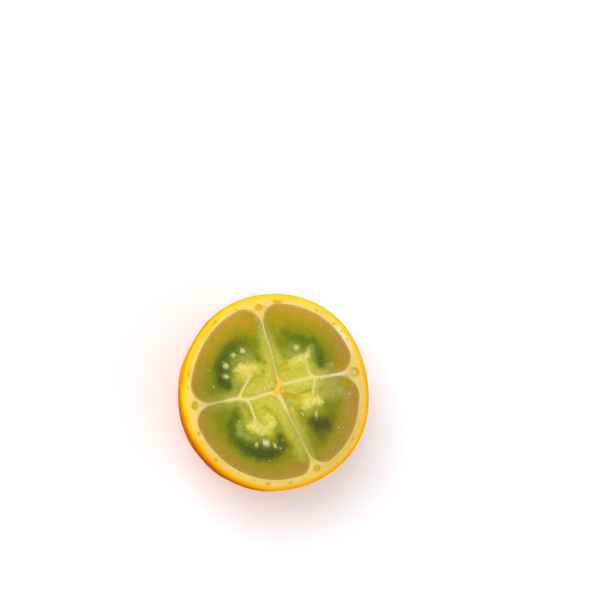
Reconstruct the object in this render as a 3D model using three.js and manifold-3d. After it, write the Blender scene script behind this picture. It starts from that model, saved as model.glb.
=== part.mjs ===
// A halved naranjilla: the blossom half of the ripe fruit, cut across its middle.
// It lies on its blossom end with the cut face up, so the four chambers, the walls between
// them, the placentas and a few seeds are open to view. Skin, wall, pulp and seeds grew as
// one body, and the half is one closed solid. Millimetres, +Z up, the origin on the surface
// that it rests on, under the middle of the cut face.

import * as THREE from 'three';
import { mergeVertices } from 'three/addons/utils/BufferGeometryUtils.js';
import Module from 'manifold-3d';

// Driving dimensions of the half fruit
const FACE_RADIUS = 28.6; // mean radius of the cut face
const HALF_HEIGHT = 27.6; // from the resting flat to the cut face
const FOOT_RADIUS = 4.6; // flat at the blossom end, which the half rests on
const RIM_ROUNDING = 0.35; // where the skin turns into the cut face
const SCAR_RADIUS = 1.7; // mouth of the sunk scar that the flower's style left in the foot
const SCAR_FLOOR_RADIUS = 1.3;
const SCAR_DEPTH = 0.6;
const STUB_RADIUS = 0.8; // dry stub of the style, inside the scar
const STUB_TOP_RADIUS = 0.55;
const STUB_SINK = 0.2; // how far the stub ends above the foot's plane

// The outline is not quite round: [waves in a turn, height in mm, degrees to a crest]
const OUTLINE_WAVES = [
    [2, 0.194, 55],
    [3, 0.124, -38],
    [4, 0.113, -35],
    [5, 0.138, -23],
];

// The cut face: four walls spring from the core and part four chambers of pulp
const CORE = [0.8, 0.9];
const SEPTUM_THICKNESS = 0.8;
const PULP_SINK = 0.5; // how far the jelly-like pulp stands below the cut walls
const POCKET_OVERCUT = 1; // how far the space above the pulp is cut past the face

// Each septum: the outer end of a straight line from the core, and how far the septum's
// centreline lies to the left of that line, as [share of the way out, mm]
const SEPTA = {
    right: { end: [24.3, 7.0], offsets: [[0, 0.9], [0.42, 0.9], [0.58, 0.2], [1, -0.2]] },
    top: { end: [-5.1, 25.1], offsets: [[0, -0.15], [0.4, -0.1], [0.7, 0.55], [1, 0.5]] },
    left: {
        end: [-25.6, -4.9],
        offsets: [[0, 0.85], [0.12, 0.85], [0.35, 1.45], [0.52, 0.45], [1, 0.6]],
    },
    bottom: { end: [12.3, -22.5], offsets: [[0, -0.8], [0.3, -0.8], [0.6, -0.42], [1, -0.25]] },
};

// Each chamber, anticlockwise from its first septum to its second. The corners are the radii
// at the core, at the first septum's outer end and at the second's.
const CHAMBERS = [
    { first: 'right', second: 'top', wall: 2.9, corners: [2.2, 5.8, 5.6] },
    { first: 'top', second: 'left', wall: 2.7, corners: [2.4, 6.2, 6.6] },
    { first: 'left', second: 'bottom', wall: 3.0, corners: [3.2, 5.6, 4.4] },
    { first: 'bottom', second: 'right', wall: 2.95, corners: [1.8, 5.4, 7.0] },
];
const CHAMBER_MIDDLE = 14; // radius of the point that a chamber's outline is drawn around

// Placentas: soft lumps that the seeds sit on, [x, y, half length, half width, degrees turned]
const PLACENTAS = [
    [7.3, 8.8, 4.2, 2.6, 35],
    [-8.8, 5.7, 4.4, 2.7, 5],
    [-4.4, -9.6, 4.6, 2.7, -8],
    [11.8, -1.9, 4.4, 2.5, -12],
];
const PLACENTA_HALF_HEIGHT = 0.45;

// Stalks: thin webs that carry each placenta from a septum
const STALKS = [
    [[10.7, 4.4], [10.0, 5.8], [9.4, 7.0], [7.6, 8.8]],
    [[-10.8, -2.2], [-10.2, 0.0], [-9.4, 2.0], [-8.0, 5.0]],
    [[-9.3, -2.7], [-8.0, -4.7], [-6.8, -7.1], [-5.2, -9.8]],
    [[11.6, 4.2], [11.4, 2.4], [11.1, 0.6], [11.2, -1.9]],
];
const STALK_THICKNESS = 0.6;
const STALK_HEIGHT = 0.8;
const STALK_SINK = 0.1; // how far its top edge stays below the cut face

// Seeds that stand out of the pulp around the placentas: [x, y, degrees turned]
const SEEDS = [
    [6.0, 13.2, 20],
    [-10.2, 11.4, 70], [-13.0, 10.0, 40], [-15.2, 7.2, 80], [-15.0, 4.0, -10],
    [-3.0, -14.7, 20], [-0.5, -15.8, -50], [-6.1, -15.4, 60],
    [12.2, -6.0, 80], [7.9, -6.0, 50],
];
const SEED_LENGTH = 2.6;
const SEED_WIDTH = 2.1;
const SEED_THICKNESS = 0.9;

// Four large strands of veins end in the outer wall, as low domes on the cut face
const STRANDS = [[-5.6, 24.4], [23.8, 6.3], [12.1, -22.0], [-24.7, -4.8]];
const STRAND_RADIUS = 1.05;
const STRAND_RISE = 0.12;

// Steps of the curved shapes
const TURN_STEPS = 96; // round the fruit
const SIDE_STEPS = 16; // from foot to rim
const RIM_STEPS = 3; // over the rim's rounding
const OUTLINE_STEPS = 72; // round a chamber
const OUTLINE_ACCURACY = 0.01; // mm, of each point of a chamber's outline
const STALK_STEPS = 10; // along a stalk
const PLACENTA_STEPS = [20, 12]; // round and up
const SEED_STEPS = [12, 8];
const STRAND_STEPS = [16, 8];
const MERGE_DISTANCE = 1e-4; // mm, below which two corners are one

const wasm = await Module();
wasm.setup();

// A closed three.js geometry as a solid that can be joined and cut.
function toSolid(geometry) {
    const plain = geometry.clone();
    plain.deleteAttribute('normal');
    plain.deleteAttribute('uv');
    const merged = mergeVertices(plain, MERGE_DISTANCE);
    const mesh = new wasm.Mesh({
        numProp: 3,
        vertProperties: new Float32Array(merged.attributes.position.array),
        triVerts: new Uint32Array(merged.index.array),
    });
    return new wasm.Manifold(mesh);
}

// A finished solid as a three.js geometry.
function toGeometry(solid) {
    const mesh = solid.getMesh();
    const geometry = new THREE.BufferGeometry();
    geometry.setAttribute('position', new THREE.BufferAttribute(mesh.vertProperties, 3));
    geometry.setIndex(new THREE.BufferAttribute(mesh.triVerts, 1));
    geometry.computeVertexNormals();
    return geometry;
}

// The cut face's radius in a direction: the mean radius and the outline's waves.
function faceRadius(angle) {
    let radius = FACE_RADIUS;
    for (const [waves, height, crest] of OUTLINE_WAVES) {
        radius += height * Math.cos(waves * (angle - THREE.MathUtils.degToRad(crest)));
    }
    return radius;
}

// The fruit's side is an ellipse that would end just below the foot, which cuts it flat.
function sideProfile() {
    const footShare = FOOT_RADIUS / FACE_RADIUS;
    const depth = (HALF_HEIGHT - RIM_ROUNDING) / Math.sqrt(1 - footShare * footShare);
    const lowest = Math.asin(footShare);
    const points = [
        new THREE.Vector2(0, STUB_SINK),
        new THREE.Vector2(STUB_TOP_RADIUS, STUB_SINK),
        new THREE.Vector2(STUB_RADIUS, SCAR_DEPTH),
        new THREE.Vector2(SCAR_FLOOR_RADIUS, SCAR_DEPTH),
        new THREE.Vector2(SCAR_RADIUS, 0),
    ];
    for (let step = 0; step <= SIDE_STEPS; step += 1) {
        const angle = THREE.MathUtils.lerp(lowest, Math.PI / 2, step / SIDE_STEPS);
        const z = HALF_HEIGHT - RIM_ROUNDING - depth * Math.cos(angle);
        points.push(new THREE.Vector2(FACE_RADIUS * Math.sin(angle), z));
    }
    for (let step = 1; step <= RIM_STEPS; step += 1) {
        const angle = ((Math.PI / 2) * step) / RIM_STEPS;
        points.push(new THREE.Vector2(
            FACE_RADIUS - RIM_ROUNDING * (1 - Math.cos(angle)),
            HALF_HEIGHT - RIM_ROUNDING * (1 - Math.sin(angle)),
        ));
    }
    points.push(new THREE.Vector2(0, HALF_HEIGHT));
    return points;
}

// The whole half before its face is worked: the profile turned once round, then pushed in
// and out by the outline's waves, which fade away towards the foot.
function makeBody() {
    const body = new THREE.LatheGeometry(sideProfile(), TURN_STEPS);
    body.rotateX(Math.PI / 2);
    const place = body.attributes.position;
    for (let i = 0; i < place.count; i += 1) {
        const x = place.getX(i);
        const y = place.getY(i);
        const share = Math.min(1, Math.hypot(x, y) / FACE_RADIUS);
        const wave = faceRadius(Math.atan2(y, x)) / FACE_RADIUS - 1;
        place.setX(i, x * (1 + wave * share));
        place.setY(i, y * (1 + wave * share));
    }
    return toSolid(body);
}

// How far a septum's centreline lies to the left of its straight line, eased from each of its
// offsets to the next.
function septumOffset(septum, share) {
    let offset = septum.offsets[0][1];
    for (let i = 1; i < septum.offsets.length; i += 1) {
        const [start, from] = septum.offsets[i - 1];
        const [end, to] = septum.offsets[i];
        offset += (to - from) * THREE.MathUtils.smoothstep(share, start, end);
    }
    return offset;
}

// Distance to the left of a septum's centreline.
function leftOfSeptum(septum, x, y) {
    const dx = septum.end[0] - CORE[0];
    const dy = septum.end[1] - CORE[1];
    const length = Math.hypot(dx, dy);
    const along = ((x - CORE[0]) * dx + (y - CORE[1]) * dy) / length;
    const across = ((y - CORE[1]) * dx - (x - CORE[0]) * dy) / length;
    return across - septumOffset(septum, along / length);
}

// The smaller of two depths, with the corner between them rounded to a radius.
function roundedCorner(a, b, radius) {
    if (a < radius && b < radius) {
        return radius - Math.hypot(radius - a, radius - b);
    }
    return Math.min(a, b);
}

// How deep a point lies inside a chamber: above zero inside it, below zero outside.
function depthInChamber(chamber, x, y) {
    const half = SEPTUM_THICKNESS / 2;
    const first = leftOfSeptum(SEPTA[chamber.first], x, y) - half;
    const second = -leftOfSeptum(SEPTA[chamber.second], x, y) - half;
    const wall = faceRadius(Math.atan2(y, x)) - chamber.wall - Math.hypot(x, y);
    const [atCore, atFirst, atSecond] = chamber.corners;
    return Math.min(
        roundedCorner(first, second, atCore),
        roundedCorner(first, wall, atFirst),
        roundedCorner(second, wall, atSecond),
    );
}

// A chamber's outline: along each ray from its middle, the point where the depth is zero.
function chamberShape(chamber) {
    const start = Math.atan2(SEPTA[chamber.first].end[1], SEPTA[chamber.first].end[0]);
    let turn = Math.atan2(SEPTA[chamber.second].end[1], SEPTA[chamber.second].end[0]) - start;
    if (turn < 0) {
        turn += 2 * Math.PI;
    }
    const middleX = CHAMBER_MIDDLE * Math.cos(start + turn / 2);
    const middleY = CHAMBER_MIDDLE * Math.sin(start + turn / 2);
    const points = [];
    for (let step = 0; step < OUTLINE_STEPS; step += 1) {
        const angle = (2 * Math.PI * step) / OUTLINE_STEPS;
        let inside = 0;
        let outside = FACE_RADIUS;
        while (outside - inside > OUTLINE_ACCURACY) {
            const reach = (inside + outside) / 2;
            const x = middleX + reach * Math.cos(angle);
            const y = middleY + reach * Math.sin(angle);
            if (depthInChamber(chamber, x, y) > 0) {
                inside = reach;
            } else {
                outside = reach;
            }
        }
        points.push(new THREE.Vector2(
            middleX + inside * Math.cos(angle),
            middleY + inside * Math.sin(angle),
        ));
    }
    return new THREE.Shape(points);
}

// The shallow space above a chamber's pulp, open at the cut face.
function makePocket(chamber) {
    const pocket = new THREE.ExtrudeGeometry(chamberShape(chamber), {
        depth: PULP_SINK + POCKET_OVERCUT,
        bevelEnabled: false,
    });
    pocket.translate(0, 0, HALF_HEIGHT - PULP_SINK);
    return toSolid(pocket);
}

// A placenta: an oval lump, half sunk in the pulp.
function makePlacenta([x, y, halfLength, halfWidth, turned]) {
    const lump = new THREE.SphereGeometry(1, ...PLACENTA_STEPS);
    lump.scale(halfLength, halfWidth, PLACENTA_HALF_HEIGHT);
    lump.rotateZ(THREE.MathUtils.degToRad(turned));
    lump.translate(x, y, HALF_HEIGHT - PULP_SINK);
    return toSolid(lump);
}

// A stalk: a thin web along a smooth curve, upright in the pulp, its top edge just below
// the cut face.
function makeStalk(route) {
    const curve = new THREE.CatmullRomCurve3(
        route.map(([x, y]) => new THREE.Vector3(x, y, 0)),
    );
    const left = [];
    const right = [];
    for (let step = 0; step <= STALK_STEPS; step += 1) {
        const point = curve.getPoint(step / STALK_STEPS);
        const tangent = curve.getTangent(step / STALK_STEPS);
        const side = new THREE.Vector2(-tangent.y, tangent.x).setLength(STALK_THICKNESS / 2);
        left.push(new THREE.Vector2(point.x + side.x, point.y + side.y));
        right.push(new THREE.Vector2(point.x - side.x, point.y - side.y));
    }
    const outline = new THREE.Shape([...left, ...right.reverse()]);
    const web = new THREE.ExtrudeGeometry(outline, {
        depth: STALK_HEIGHT,
        bevelEnabled: false,
    });
    web.translate(0, 0, HALF_HEIGHT - STALK_SINK - STALK_HEIGHT);
    return toSolid(web);
}

// A seed: a flat lens, lying half sunk in the pulp.
function makeSeed([x, y, turned]) {
    const seed = new THREE.SphereGeometry(1, ...SEED_STEPS);
    seed.scale(SEED_LENGTH / 2, SEED_WIDTH / 2, SEED_THICKNESS / 2);
    seed.rotateZ(THREE.MathUtils.degToRad(turned));
    seed.translate(x, y, HALF_HEIGHT - PULP_SINK);
    return toSolid(seed);
}

// A strand of veins: the low dome of its cut end.
function makeStrand([x, y]) {
    const dome = new THREE.SphereGeometry(1, ...STRAND_STEPS);
    dome.scale(STRAND_RADIUS, STRAND_RADIUS, STRAND_RISE);
    dome.translate(x, y, HALF_HEIGHT);
    return toSolid(dome);
}

let half = makeBody();
for (const chamber of CHAMBERS) {
    half = half.subtract(makePocket(chamber));
}
for (const stalk of STALKS) {
    half = half.add(makeStalk(stalk));
}
for (const placenta of PLACENTAS) {
    half = half.add(makePlacenta(placenta));
}
for (const seed of SEEDS) {
    half = half.add(makeSeed(seed));
}
for (const strand of STRANDS) {
    half = half.add(makeStrand(strand));
}

const skin = new THREE.MeshStandardMaterial({ color: 0xff9000, roughness: 0.45, metalness: 0 });
const naranjillaHalf = new THREE.Mesh(toGeometry(half), skin);
naranjillaHalf.name = 'naranjilla_half';

const naranjilla = new THREE.Group();
naranjilla.add(naranjillaHalf);

export default naranjilla;
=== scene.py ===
"""A halved naranjilla that lies on its blossom end, its cut face up, dressed over the CAD half."""

import math

import bmesh
import bpy
import numpy as np
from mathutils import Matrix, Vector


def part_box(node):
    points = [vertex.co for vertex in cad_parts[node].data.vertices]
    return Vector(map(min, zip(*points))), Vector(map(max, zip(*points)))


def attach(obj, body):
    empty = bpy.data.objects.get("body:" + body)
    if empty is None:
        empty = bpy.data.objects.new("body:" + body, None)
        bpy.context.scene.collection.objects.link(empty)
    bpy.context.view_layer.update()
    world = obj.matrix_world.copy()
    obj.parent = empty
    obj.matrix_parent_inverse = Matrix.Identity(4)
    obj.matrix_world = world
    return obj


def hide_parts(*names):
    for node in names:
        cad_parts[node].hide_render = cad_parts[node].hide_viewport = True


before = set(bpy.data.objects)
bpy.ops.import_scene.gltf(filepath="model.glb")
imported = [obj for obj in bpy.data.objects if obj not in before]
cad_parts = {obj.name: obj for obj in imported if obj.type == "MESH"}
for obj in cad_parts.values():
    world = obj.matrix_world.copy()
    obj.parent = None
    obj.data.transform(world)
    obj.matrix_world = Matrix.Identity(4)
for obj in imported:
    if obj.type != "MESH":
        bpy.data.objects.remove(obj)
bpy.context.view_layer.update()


# --- The skin -------------------------------------------------------------------------------
# The fruit's peel: tough, about a millimetre thick, smooth and orange outside. It is one closed
# shell from the scar at the blossom end up to the knife's cut, which shows its yellow inside.

# Sizes are in mm, and the fruit is FACE_HEIGHT high at the cut, which lies below the tops of
# its large strands by their rise
MM = 0.001
NODE = "naranjilla_half"
STRAND_RISE = 0.12
FACE_RADIUS = 28.6
FACE_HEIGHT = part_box(NODE)[1][2] / MM - STRAND_RISE
FOOT_RADIUS = 4.6
RIM_ROUNDING = 0.35
SCAR_RADIUS = 1.7
SCAR_FLOOR_RADIUS = 1.3
SCAR_DEPTH = 0.6
SKIN_THICKNESS = 1.0
# Waves in a turn, height, and degrees to a crest
OUTLINE_WAVES = [(2, 0.194, 55), (3, 0.124, -38), (4, 0.113, -35), (5, 0.138, -23)]
RIPPLE_WAVES = 12
SKIN_COLUMNS = 480
SIDE_ROWS = 96
INSIDE_ROWS = 24
RIM_ROWS = 7
# How far the side swells out to one side, below the cut, and over what height
BULGE = 0.55
BULGE_TOWARDS = 232
BULGE_DROP = 7
BULGE_SPREAD = 6
# How far from the foot and below the cut the side's unevenness fades
FOOT_FADE = 6
CUT_FADE = 4
LIGHT_STRENGTH = 1.15


def face_radius(angle):
    """The cut face's radius in a direction: the mean radius plus a few cosine waves."""
    radius = np.full_like(angle, FACE_RADIUS)
    for waves, height, crest in OUTLINE_WAVES:
        radius = radius + height * np.cos(waves * (angle - math.radians(crest)))
    return radius


def out_of_round(points):
    """Push points of a round body in and out by the outline's waves. The share of a wave that a
    point takes is its distance from the axis over the face's radius, so the foot stays round."""
    share = np.minimum(1, np.hypot(points[..., 0], points[..., 1]) / FACE_RADIUS)
    wave = face_radius(np.arctan2(points[..., 1], points[..., 0])) / FACE_RADIUS - 1
    moved = points.copy()
    moved[..., :2] *= (1 + wave * share)[..., None]
    return moved


def ripple(points, size, seed):
    """Soft unevenness, mostly between -1 and 1: the sum of twelve sine waves that cross the
    points in random directions, each 0.7 to 1.5 times size long, over the root of six."""
    draw = np.random.default_rng(seed)
    ways = draw.normal(size=(RIPPLE_WAVES, 3))
    lengths = size * draw.uniform(0.7, 1.5, (RIPPLE_WAVES, 1))
    ways *= 2 * math.pi / lengths / np.linalg.norm(ways, axis=1, keepdims=True)
    starts = draw.uniform(0, 2 * math.pi, RIPPLE_WAVES)
    return np.sin(points @ ways.T + starts).sum(axis=-1) / math.sqrt(RIPPLE_WAVES / 2)


def cut_height(points):
    """Height of the cut face: flat, but for soft swells 6 mm and 1.5 mm long."""
    flat = points * (1, 1, 0)
    broad = 0.03 * ripple(flat, 6.0, seed=3)
    return FACE_HEIGHT + broad + 0.008 * ripple(flat, 1.5, seed=4)


def add_rings(name, rings, values=None):
    """A closed piece through rings of points, in mm: each ring is joined to the next by quads,
    and the first and last ring are closed by a fan round their mean point. values are numbers
    kept at the points, such as a depth, for the material. If the volume that the faces enclose
    comes out below zero, they are turned round."""
    count, around = rings.shape[:2]
    points = np.concatenate([rings.reshape(-1, 3), rings[[0, -1]].mean(axis=1)])
    grid = np.arange(count * around).reshape(count, around)
    after = np.roll(grid, -1, axis=1)
    quads = np.stack([grid[:-1], after[:-1], after[1:], grid[1:]], axis=-1).reshape(-1, 4)
    first = np.stack([after[0], grid[0], np.full(around, count * around)], axis=-1)
    last = np.stack([grid[-1], after[-1], np.full(around, count * around + 1)], axis=-1)
    corners = np.concatenate([quads[:, :3], quads[:, [0, 2, 3]], first, last])
    a, b, c = points[corners].transpose(1, 0, 2)
    turn = -1 if (a * np.cross(b, c)).sum() < 0 else 1
    faces = [face[::turn] for part in (quads, first, last) for face in part.tolist()]
    mesh = bpy.data.meshes.new(name)
    mesh.from_pydata((points * MM).tolist(), [], faces)
    for key, value in (values or {}).items():
        ends = value[[0, -1]].mean(axis=1)
        kept = mesh.attributes.new(key, "FLOAT", "POINT")
        kept.data.foreach_set("value", np.concatenate([value.ravel(), ends]))
    return place_piece(name, mesh)


def place_piece(name, mesh):
    """Show a finished mesh, smooth, at the origin, as a piece that rides on the fruit."""
    mesh.shade_smooth()
    piece = bpy.data.objects.new(name, mesh)
    bpy.context.scene.collection.objects.link(piece)
    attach(piece, "root")
    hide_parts(NODE)
    return piece


def turn_profile(profile, columns):
    """Carry a profile of (radius, height) once round the axis, as rings of points."""
    angle = np.arange(columns) * 2 * math.pi / columns
    radius = profile[:, 0, None]
    height = np.broadcast_to(profile[:, 1, None], (len(profile), columns))
    return np.stack([radius * np.cos(angle), radius * np.sin(angle), height], axis=-1)


def side_ellipse(inset, rows):
    """The fruit's side from foot to rim, inset by a thickness: an ellipse about the middle of
    the cut, whose depth makes the uninset one FOOT_RADIUS wide at height 0."""
    foot_share = FOOT_RADIUS / FACE_RADIUS
    top = FACE_HEIGHT - RIM_ROUNDING
    depth = top / math.sqrt(1 - foot_share**2)
    angle = np.linspace(math.asin(foot_share), math.pi / 2, rows)
    radius = (FACE_RADIUS - inset) * np.sin(angle)
    return np.stack([radius, top - (depth - inset) * np.cos(angle)], axis=-1)


def skin_profile():
    """The skin's section: scar floor, foot, side, rim, cut edge, and back down its inside."""
    scar = np.array([
        (0.02, SCAR_DEPTH),
        (0.7, SCAR_DEPTH),
        (SCAR_FLOOR_RADIUS, SCAR_DEPTH),
        (SCAR_FLOOR_RADIUS + 0.2, SCAR_DEPTH - 0.15),
        (SCAR_RADIUS - 0.05, 0.15),
        (SCAR_RADIUS + 0.15, 0.02),
        (SCAR_RADIUS + 0.5, 0.0),
        (3.4, 0.0),
    ])
    angle = np.linspace(0, math.pi / 2, RIM_ROWS)[1:]
    rim = np.stack([
        FACE_RADIUS - RIM_ROUNDING * (1 - np.cos(angle)),
        FACE_HEIGHT - RIM_ROUNDING * (1 - np.sin(angle)),
    ], axis=-1)
    across = np.linspace(RIM_ROUNDING, SKIN_THICKNESS, RIM_ROWS)[1:]
    edge = np.stack([FACE_RADIUS - across, np.full_like(across, FACE_HEIGHT)], axis=-1)
    edge[-1, 1] -= 0.05
    inside = side_ellipse(SKIN_THICKNESS, INSIDE_ROWS)[::-1]
    pole = np.array([(0.02, SCAR_DEPTH + SKIN_THICKNESS)])
    return np.concatenate([scar, side_ellipse(0, SIDE_ROWS), rim, edge, inside, pole])


def skin_rings():
    """The skin's rings: the profile carried round, pushed out of round, then roughened. The
    side swells in and out by 0.09 mm over 11 mm and by 0.02 mm over 2.6 mm, and out by BULGE to
    one side: the cube of the cosine of the angle to that side, times e to minus the square of
    the height from BULGE_DROP below the cut over BULGE_SPREAD. All of it fades at the foot and
    at the cut, where the rim takes the cut's own swells instead."""
    rings = out_of_round(turn_profile(skin_profile(), SKIN_COLUMNS))
    reach = np.hypot(rings[..., 0], rings[..., 1])
    height = rings[..., 2]
    middle = np.array([0, 0, FACE_HEIGHT])
    outward = (rings - middle) / np.linalg.norm(rings - middle, axis=-1, keepdims=True)
    from_foot = np.clip((reach - FOOT_RADIUS) / FOOT_FADE, 0, 1)
    share = from_foot * np.clip((FACE_HEIGHT - height) / CUT_FADE, 0, 1)
    angle = np.arctan2(rings[..., 1], rings[..., 0])
    facing = np.clip(np.cos(angle - math.radians(BULGE_TOWARDS)), 0, 1) ** 3
    bulge = facing * np.exp(-(((FACE_HEIGHT - BULGE_DROP - height) / BULGE_SPREAD) ** 2))
    uneven = 0.09 * ripple(rings, 11.0, seed=1) + 0.02 * ripple(rings, 2.6, seed=2)
    rings = rings + outward * (share * (uneven + BULGE * bulge))[..., None]
    lift = cut_height(rings) - FACE_HEIGHT
    near_cut = np.clip((height - FACE_HEIGHT + 0.6) / 0.5, 0, 1)
    rings[..., 2] += lift * near_cut
    return rings


def skin_depth(points):
    """How far in from the skin's outer surface a point of the cut face lies."""
    angle = np.arctan2(points[..., 1], points[..., 0])
    return face_radius(angle) - np.hypot(points[..., 0], points[..., 1])


def tint(code):
    """A colour such as "ffb400", as the screen shows it where the light falls from above: the
    linear colour Blender uses, divided by the light's strength there."""
    shown = np.array([int(code[i:i + 2], 16) for i in (0, 2, 4)]) / 255
    linear = np.where(shown <= 0.04045, shown / 12.92, ((shown + 0.055) / 1.055) ** 2.4)
    return (*(linear / LIGHT_STRENGTH).tolist(), 1.0)


class Wire:
    """A value or colour on its way through a material. Its operators add Math nodes."""

    def __init__(self, finish, socket):
        self.finish = finish
        self.socket = socket

    def do(self, operation, *values):
        """A Math node on these values."""
        return self.finish.node(
            "ShaderNodeMath", {"operation": operation}, dict(enumerate(values)))

    def __add__(self, other):
        return self.do("ADD", self, other)

    __radd__ = __add__

    def __sub__(self, other):
        return self.do("SUBTRACT", self, other)

    def __rsub__(self, other):
        return self.do("SUBTRACT", other, self)

    def __mul__(self, other):
        return self.do("MULTIPLY", self, other)

    __rmul__ = __mul__

    def __truediv__(self, other):
        return self.do("DIVIDE", self, other)

    def most(self, other):
        """The larger of two values."""
        return self.do("MAXIMUM", self, other)

    def between(self, low, high):
        """0 at low, 1 at high, and a smooth step from one to the other."""
        return self.finish.node(
            "ShaderNodeMapRange",
            {"interpolation_type": "SMOOTHSTEP"},
            {"Value": self, "From Min": low, "From Max": high},
        )


class Finish:
    """A piece's material: a Principled surface, and the nodes that feed it."""

    def __init__(self, name, **fixed):
        self.material = bpy.data.materials.new(name)
        self.material.use_nodes = True
        self.tree = self.material.node_tree
        self.surface = self.tree.nodes["Principled BSDF"]
        for socket, value in fixed.items():
            self.surface.inputs[socket.replace("_", " ")].default_value = value
        self.place = self.node("ShaderNodeTexCoord", output="Object")

    def node(self, kind, settings=None, inputs=None, output=0):
        """Add a node: its settings first, then the values or links of its sockets."""
        made = self.tree.nodes.new(kind)
        for key, value in (settings or {}).items():
            if key == "stops":
                ramp = made.color_ramp
                while len(ramp.elements) < len(value):
                    ramp.elements.new(1.0)
                for element, (position, colour) in zip(ramp.elements, value):
                    element.position = position
                    element.color = tint(colour)
            else:
                setattr(made, key, value)
        for key, value in (inputs or {}).items():
            self.put(value, made.inputs[key])
        return Wire(self, made.outputs[output])

    def put(self, value, socket):
        """Link a wire to a socket, or set the socket's own value."""
        if isinstance(value, Wire):
            self.tree.links.new(value.socket, socket)
        else:
            socket.default_value = value

    def kept(self, key):
        """A number kept at the piece's points."""
        return self.node("ShaderNodeAttribute", {"attribute_name": key}, output="Fac")

    def noise(self, size, detail=2.0, lean=0.5):
        """Cloudy noise about 0.5, its blotches about size mm across. detail is how many finer
        layers it has, and lean how strong each is beside the one before."""
        return self.node("ShaderNodeTexNoise", {}, {
            "Vector": self.place,
            "Scale": 1 / (size * MM),
            "Detail": detail,
            "Roughness": lean,
        })

    def cells(self, size, output="Distance"):
        """Random cells about size mm across: the distance to a cell's middle, or its colour."""
        return self.node(
            "ShaderNodeTexVoronoi", {}, {"Vector": self.place, "Scale": 1 / (size * MM)}, output)

    def ramp(self, share, *stops):
        """A colour that runs through stops of (share, colour)."""
        return self.node("ShaderNodeValToRGB", {"stops": stops}, {"Fac": share}, "Color")

    def mix(self, share, low, high):
        """A colour between two: low where share is 0, high where it is 1. In the node's list of
        sockets, 6 and 7 are its two colours and 2 is the colour that comes out."""
        low, high = (tint(c) if isinstance(c, str) else c for c in (low, high))
        return self.node(
            "ShaderNodeMix", {"data_type": "RGBA"}, {0: share, 6: low, 7: high}, 2)

    def part(self, vector, axis):
        """One coordinate of a vector, in mm."""
        return self.node("ShaderNodeSeparateXYZ", {}, {0: vector}, axis) * (1 / MM)

    def bump(self, height, distance):
        """Feed the surface's normal from a height between 0 and 1, distance mm high."""
        made = self.node("ShaderNodeBump", {}, {"Height": height, "Distance": distance * MM})
        self.put(made, self.surface.inputs["Normal"])

    def paint(self, pieces, colour, roughness):
        """Finish the surface and put the material on some pieces."""
        self.put(colour, self.surface.inputs["Base Color"])
        self.put(roughness, self.surface.inputs["Roughness"])
        for piece in pieces:
            piece.data.materials.append(self.material)


def cut_skin(finish, depth, ripeness_and_shade):
    """The colours across the cut edge of the skin and 3 mm into the wall, by depth in mm. The top of
    the face is a clear yellow, the low right an orange yellow, and beyond its skin the wall there is
    a dull ochre: partly ripeness, and partly painted light, lit at the top and painted shade low right."""
    depth = (depth + (finish.noise(7.0) - 0.5) * 0.8) / 3
    fresh_and_lit = finish.ramp(
        depth, (0.0, "ffa400"), (0.06, "ffc400"), (0.13, "ffdc02"), (0.30, "ffe00a"),
        (0.42, "fede30"), (0.50, "fddb5c"), (0.62, "fdda6e"), (1.0, "fcd870"))
    ripe_and_shaded = finish.ramp(
        depth, (0.0, "f28a00"), (0.08, "fca000"), (0.20, "feb400"), (0.32, "fcbf0c"),
        (0.44, "f7c63a"), (0.55, "edc95e"), (0.70, "e7c968"), (1.0, "e7c968"))
    low_right = finish.part(finish.place, "X") * 0.9 - finish.part(finish.place, "Y") * 0.6
    ripest_and_shaded = (low_right + finish.noise(6.0) * 6).between(23, 36) * depth.between(0.4, 0.6)
    return finish.mix(ripeness_and_shade, fresh_and_lit, finish.mix(ripest_and_shaded * 0.9, ripe_and_shaded, "d8b150"))


def ripe_and_shade_side(finish):
    """1 low and to the right on the face, and 0 opposite: partly the side that ripened first, and
    partly painted shade, with the top painted as the more lit side.
    """
    right = finish.part(finish.place, "X")
    far = finish.part(finish.place, "Y")
    return (right * 0.6 - far + (finish.noise(9.0) - 0.5) * 12).between(-22, 14)


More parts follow.
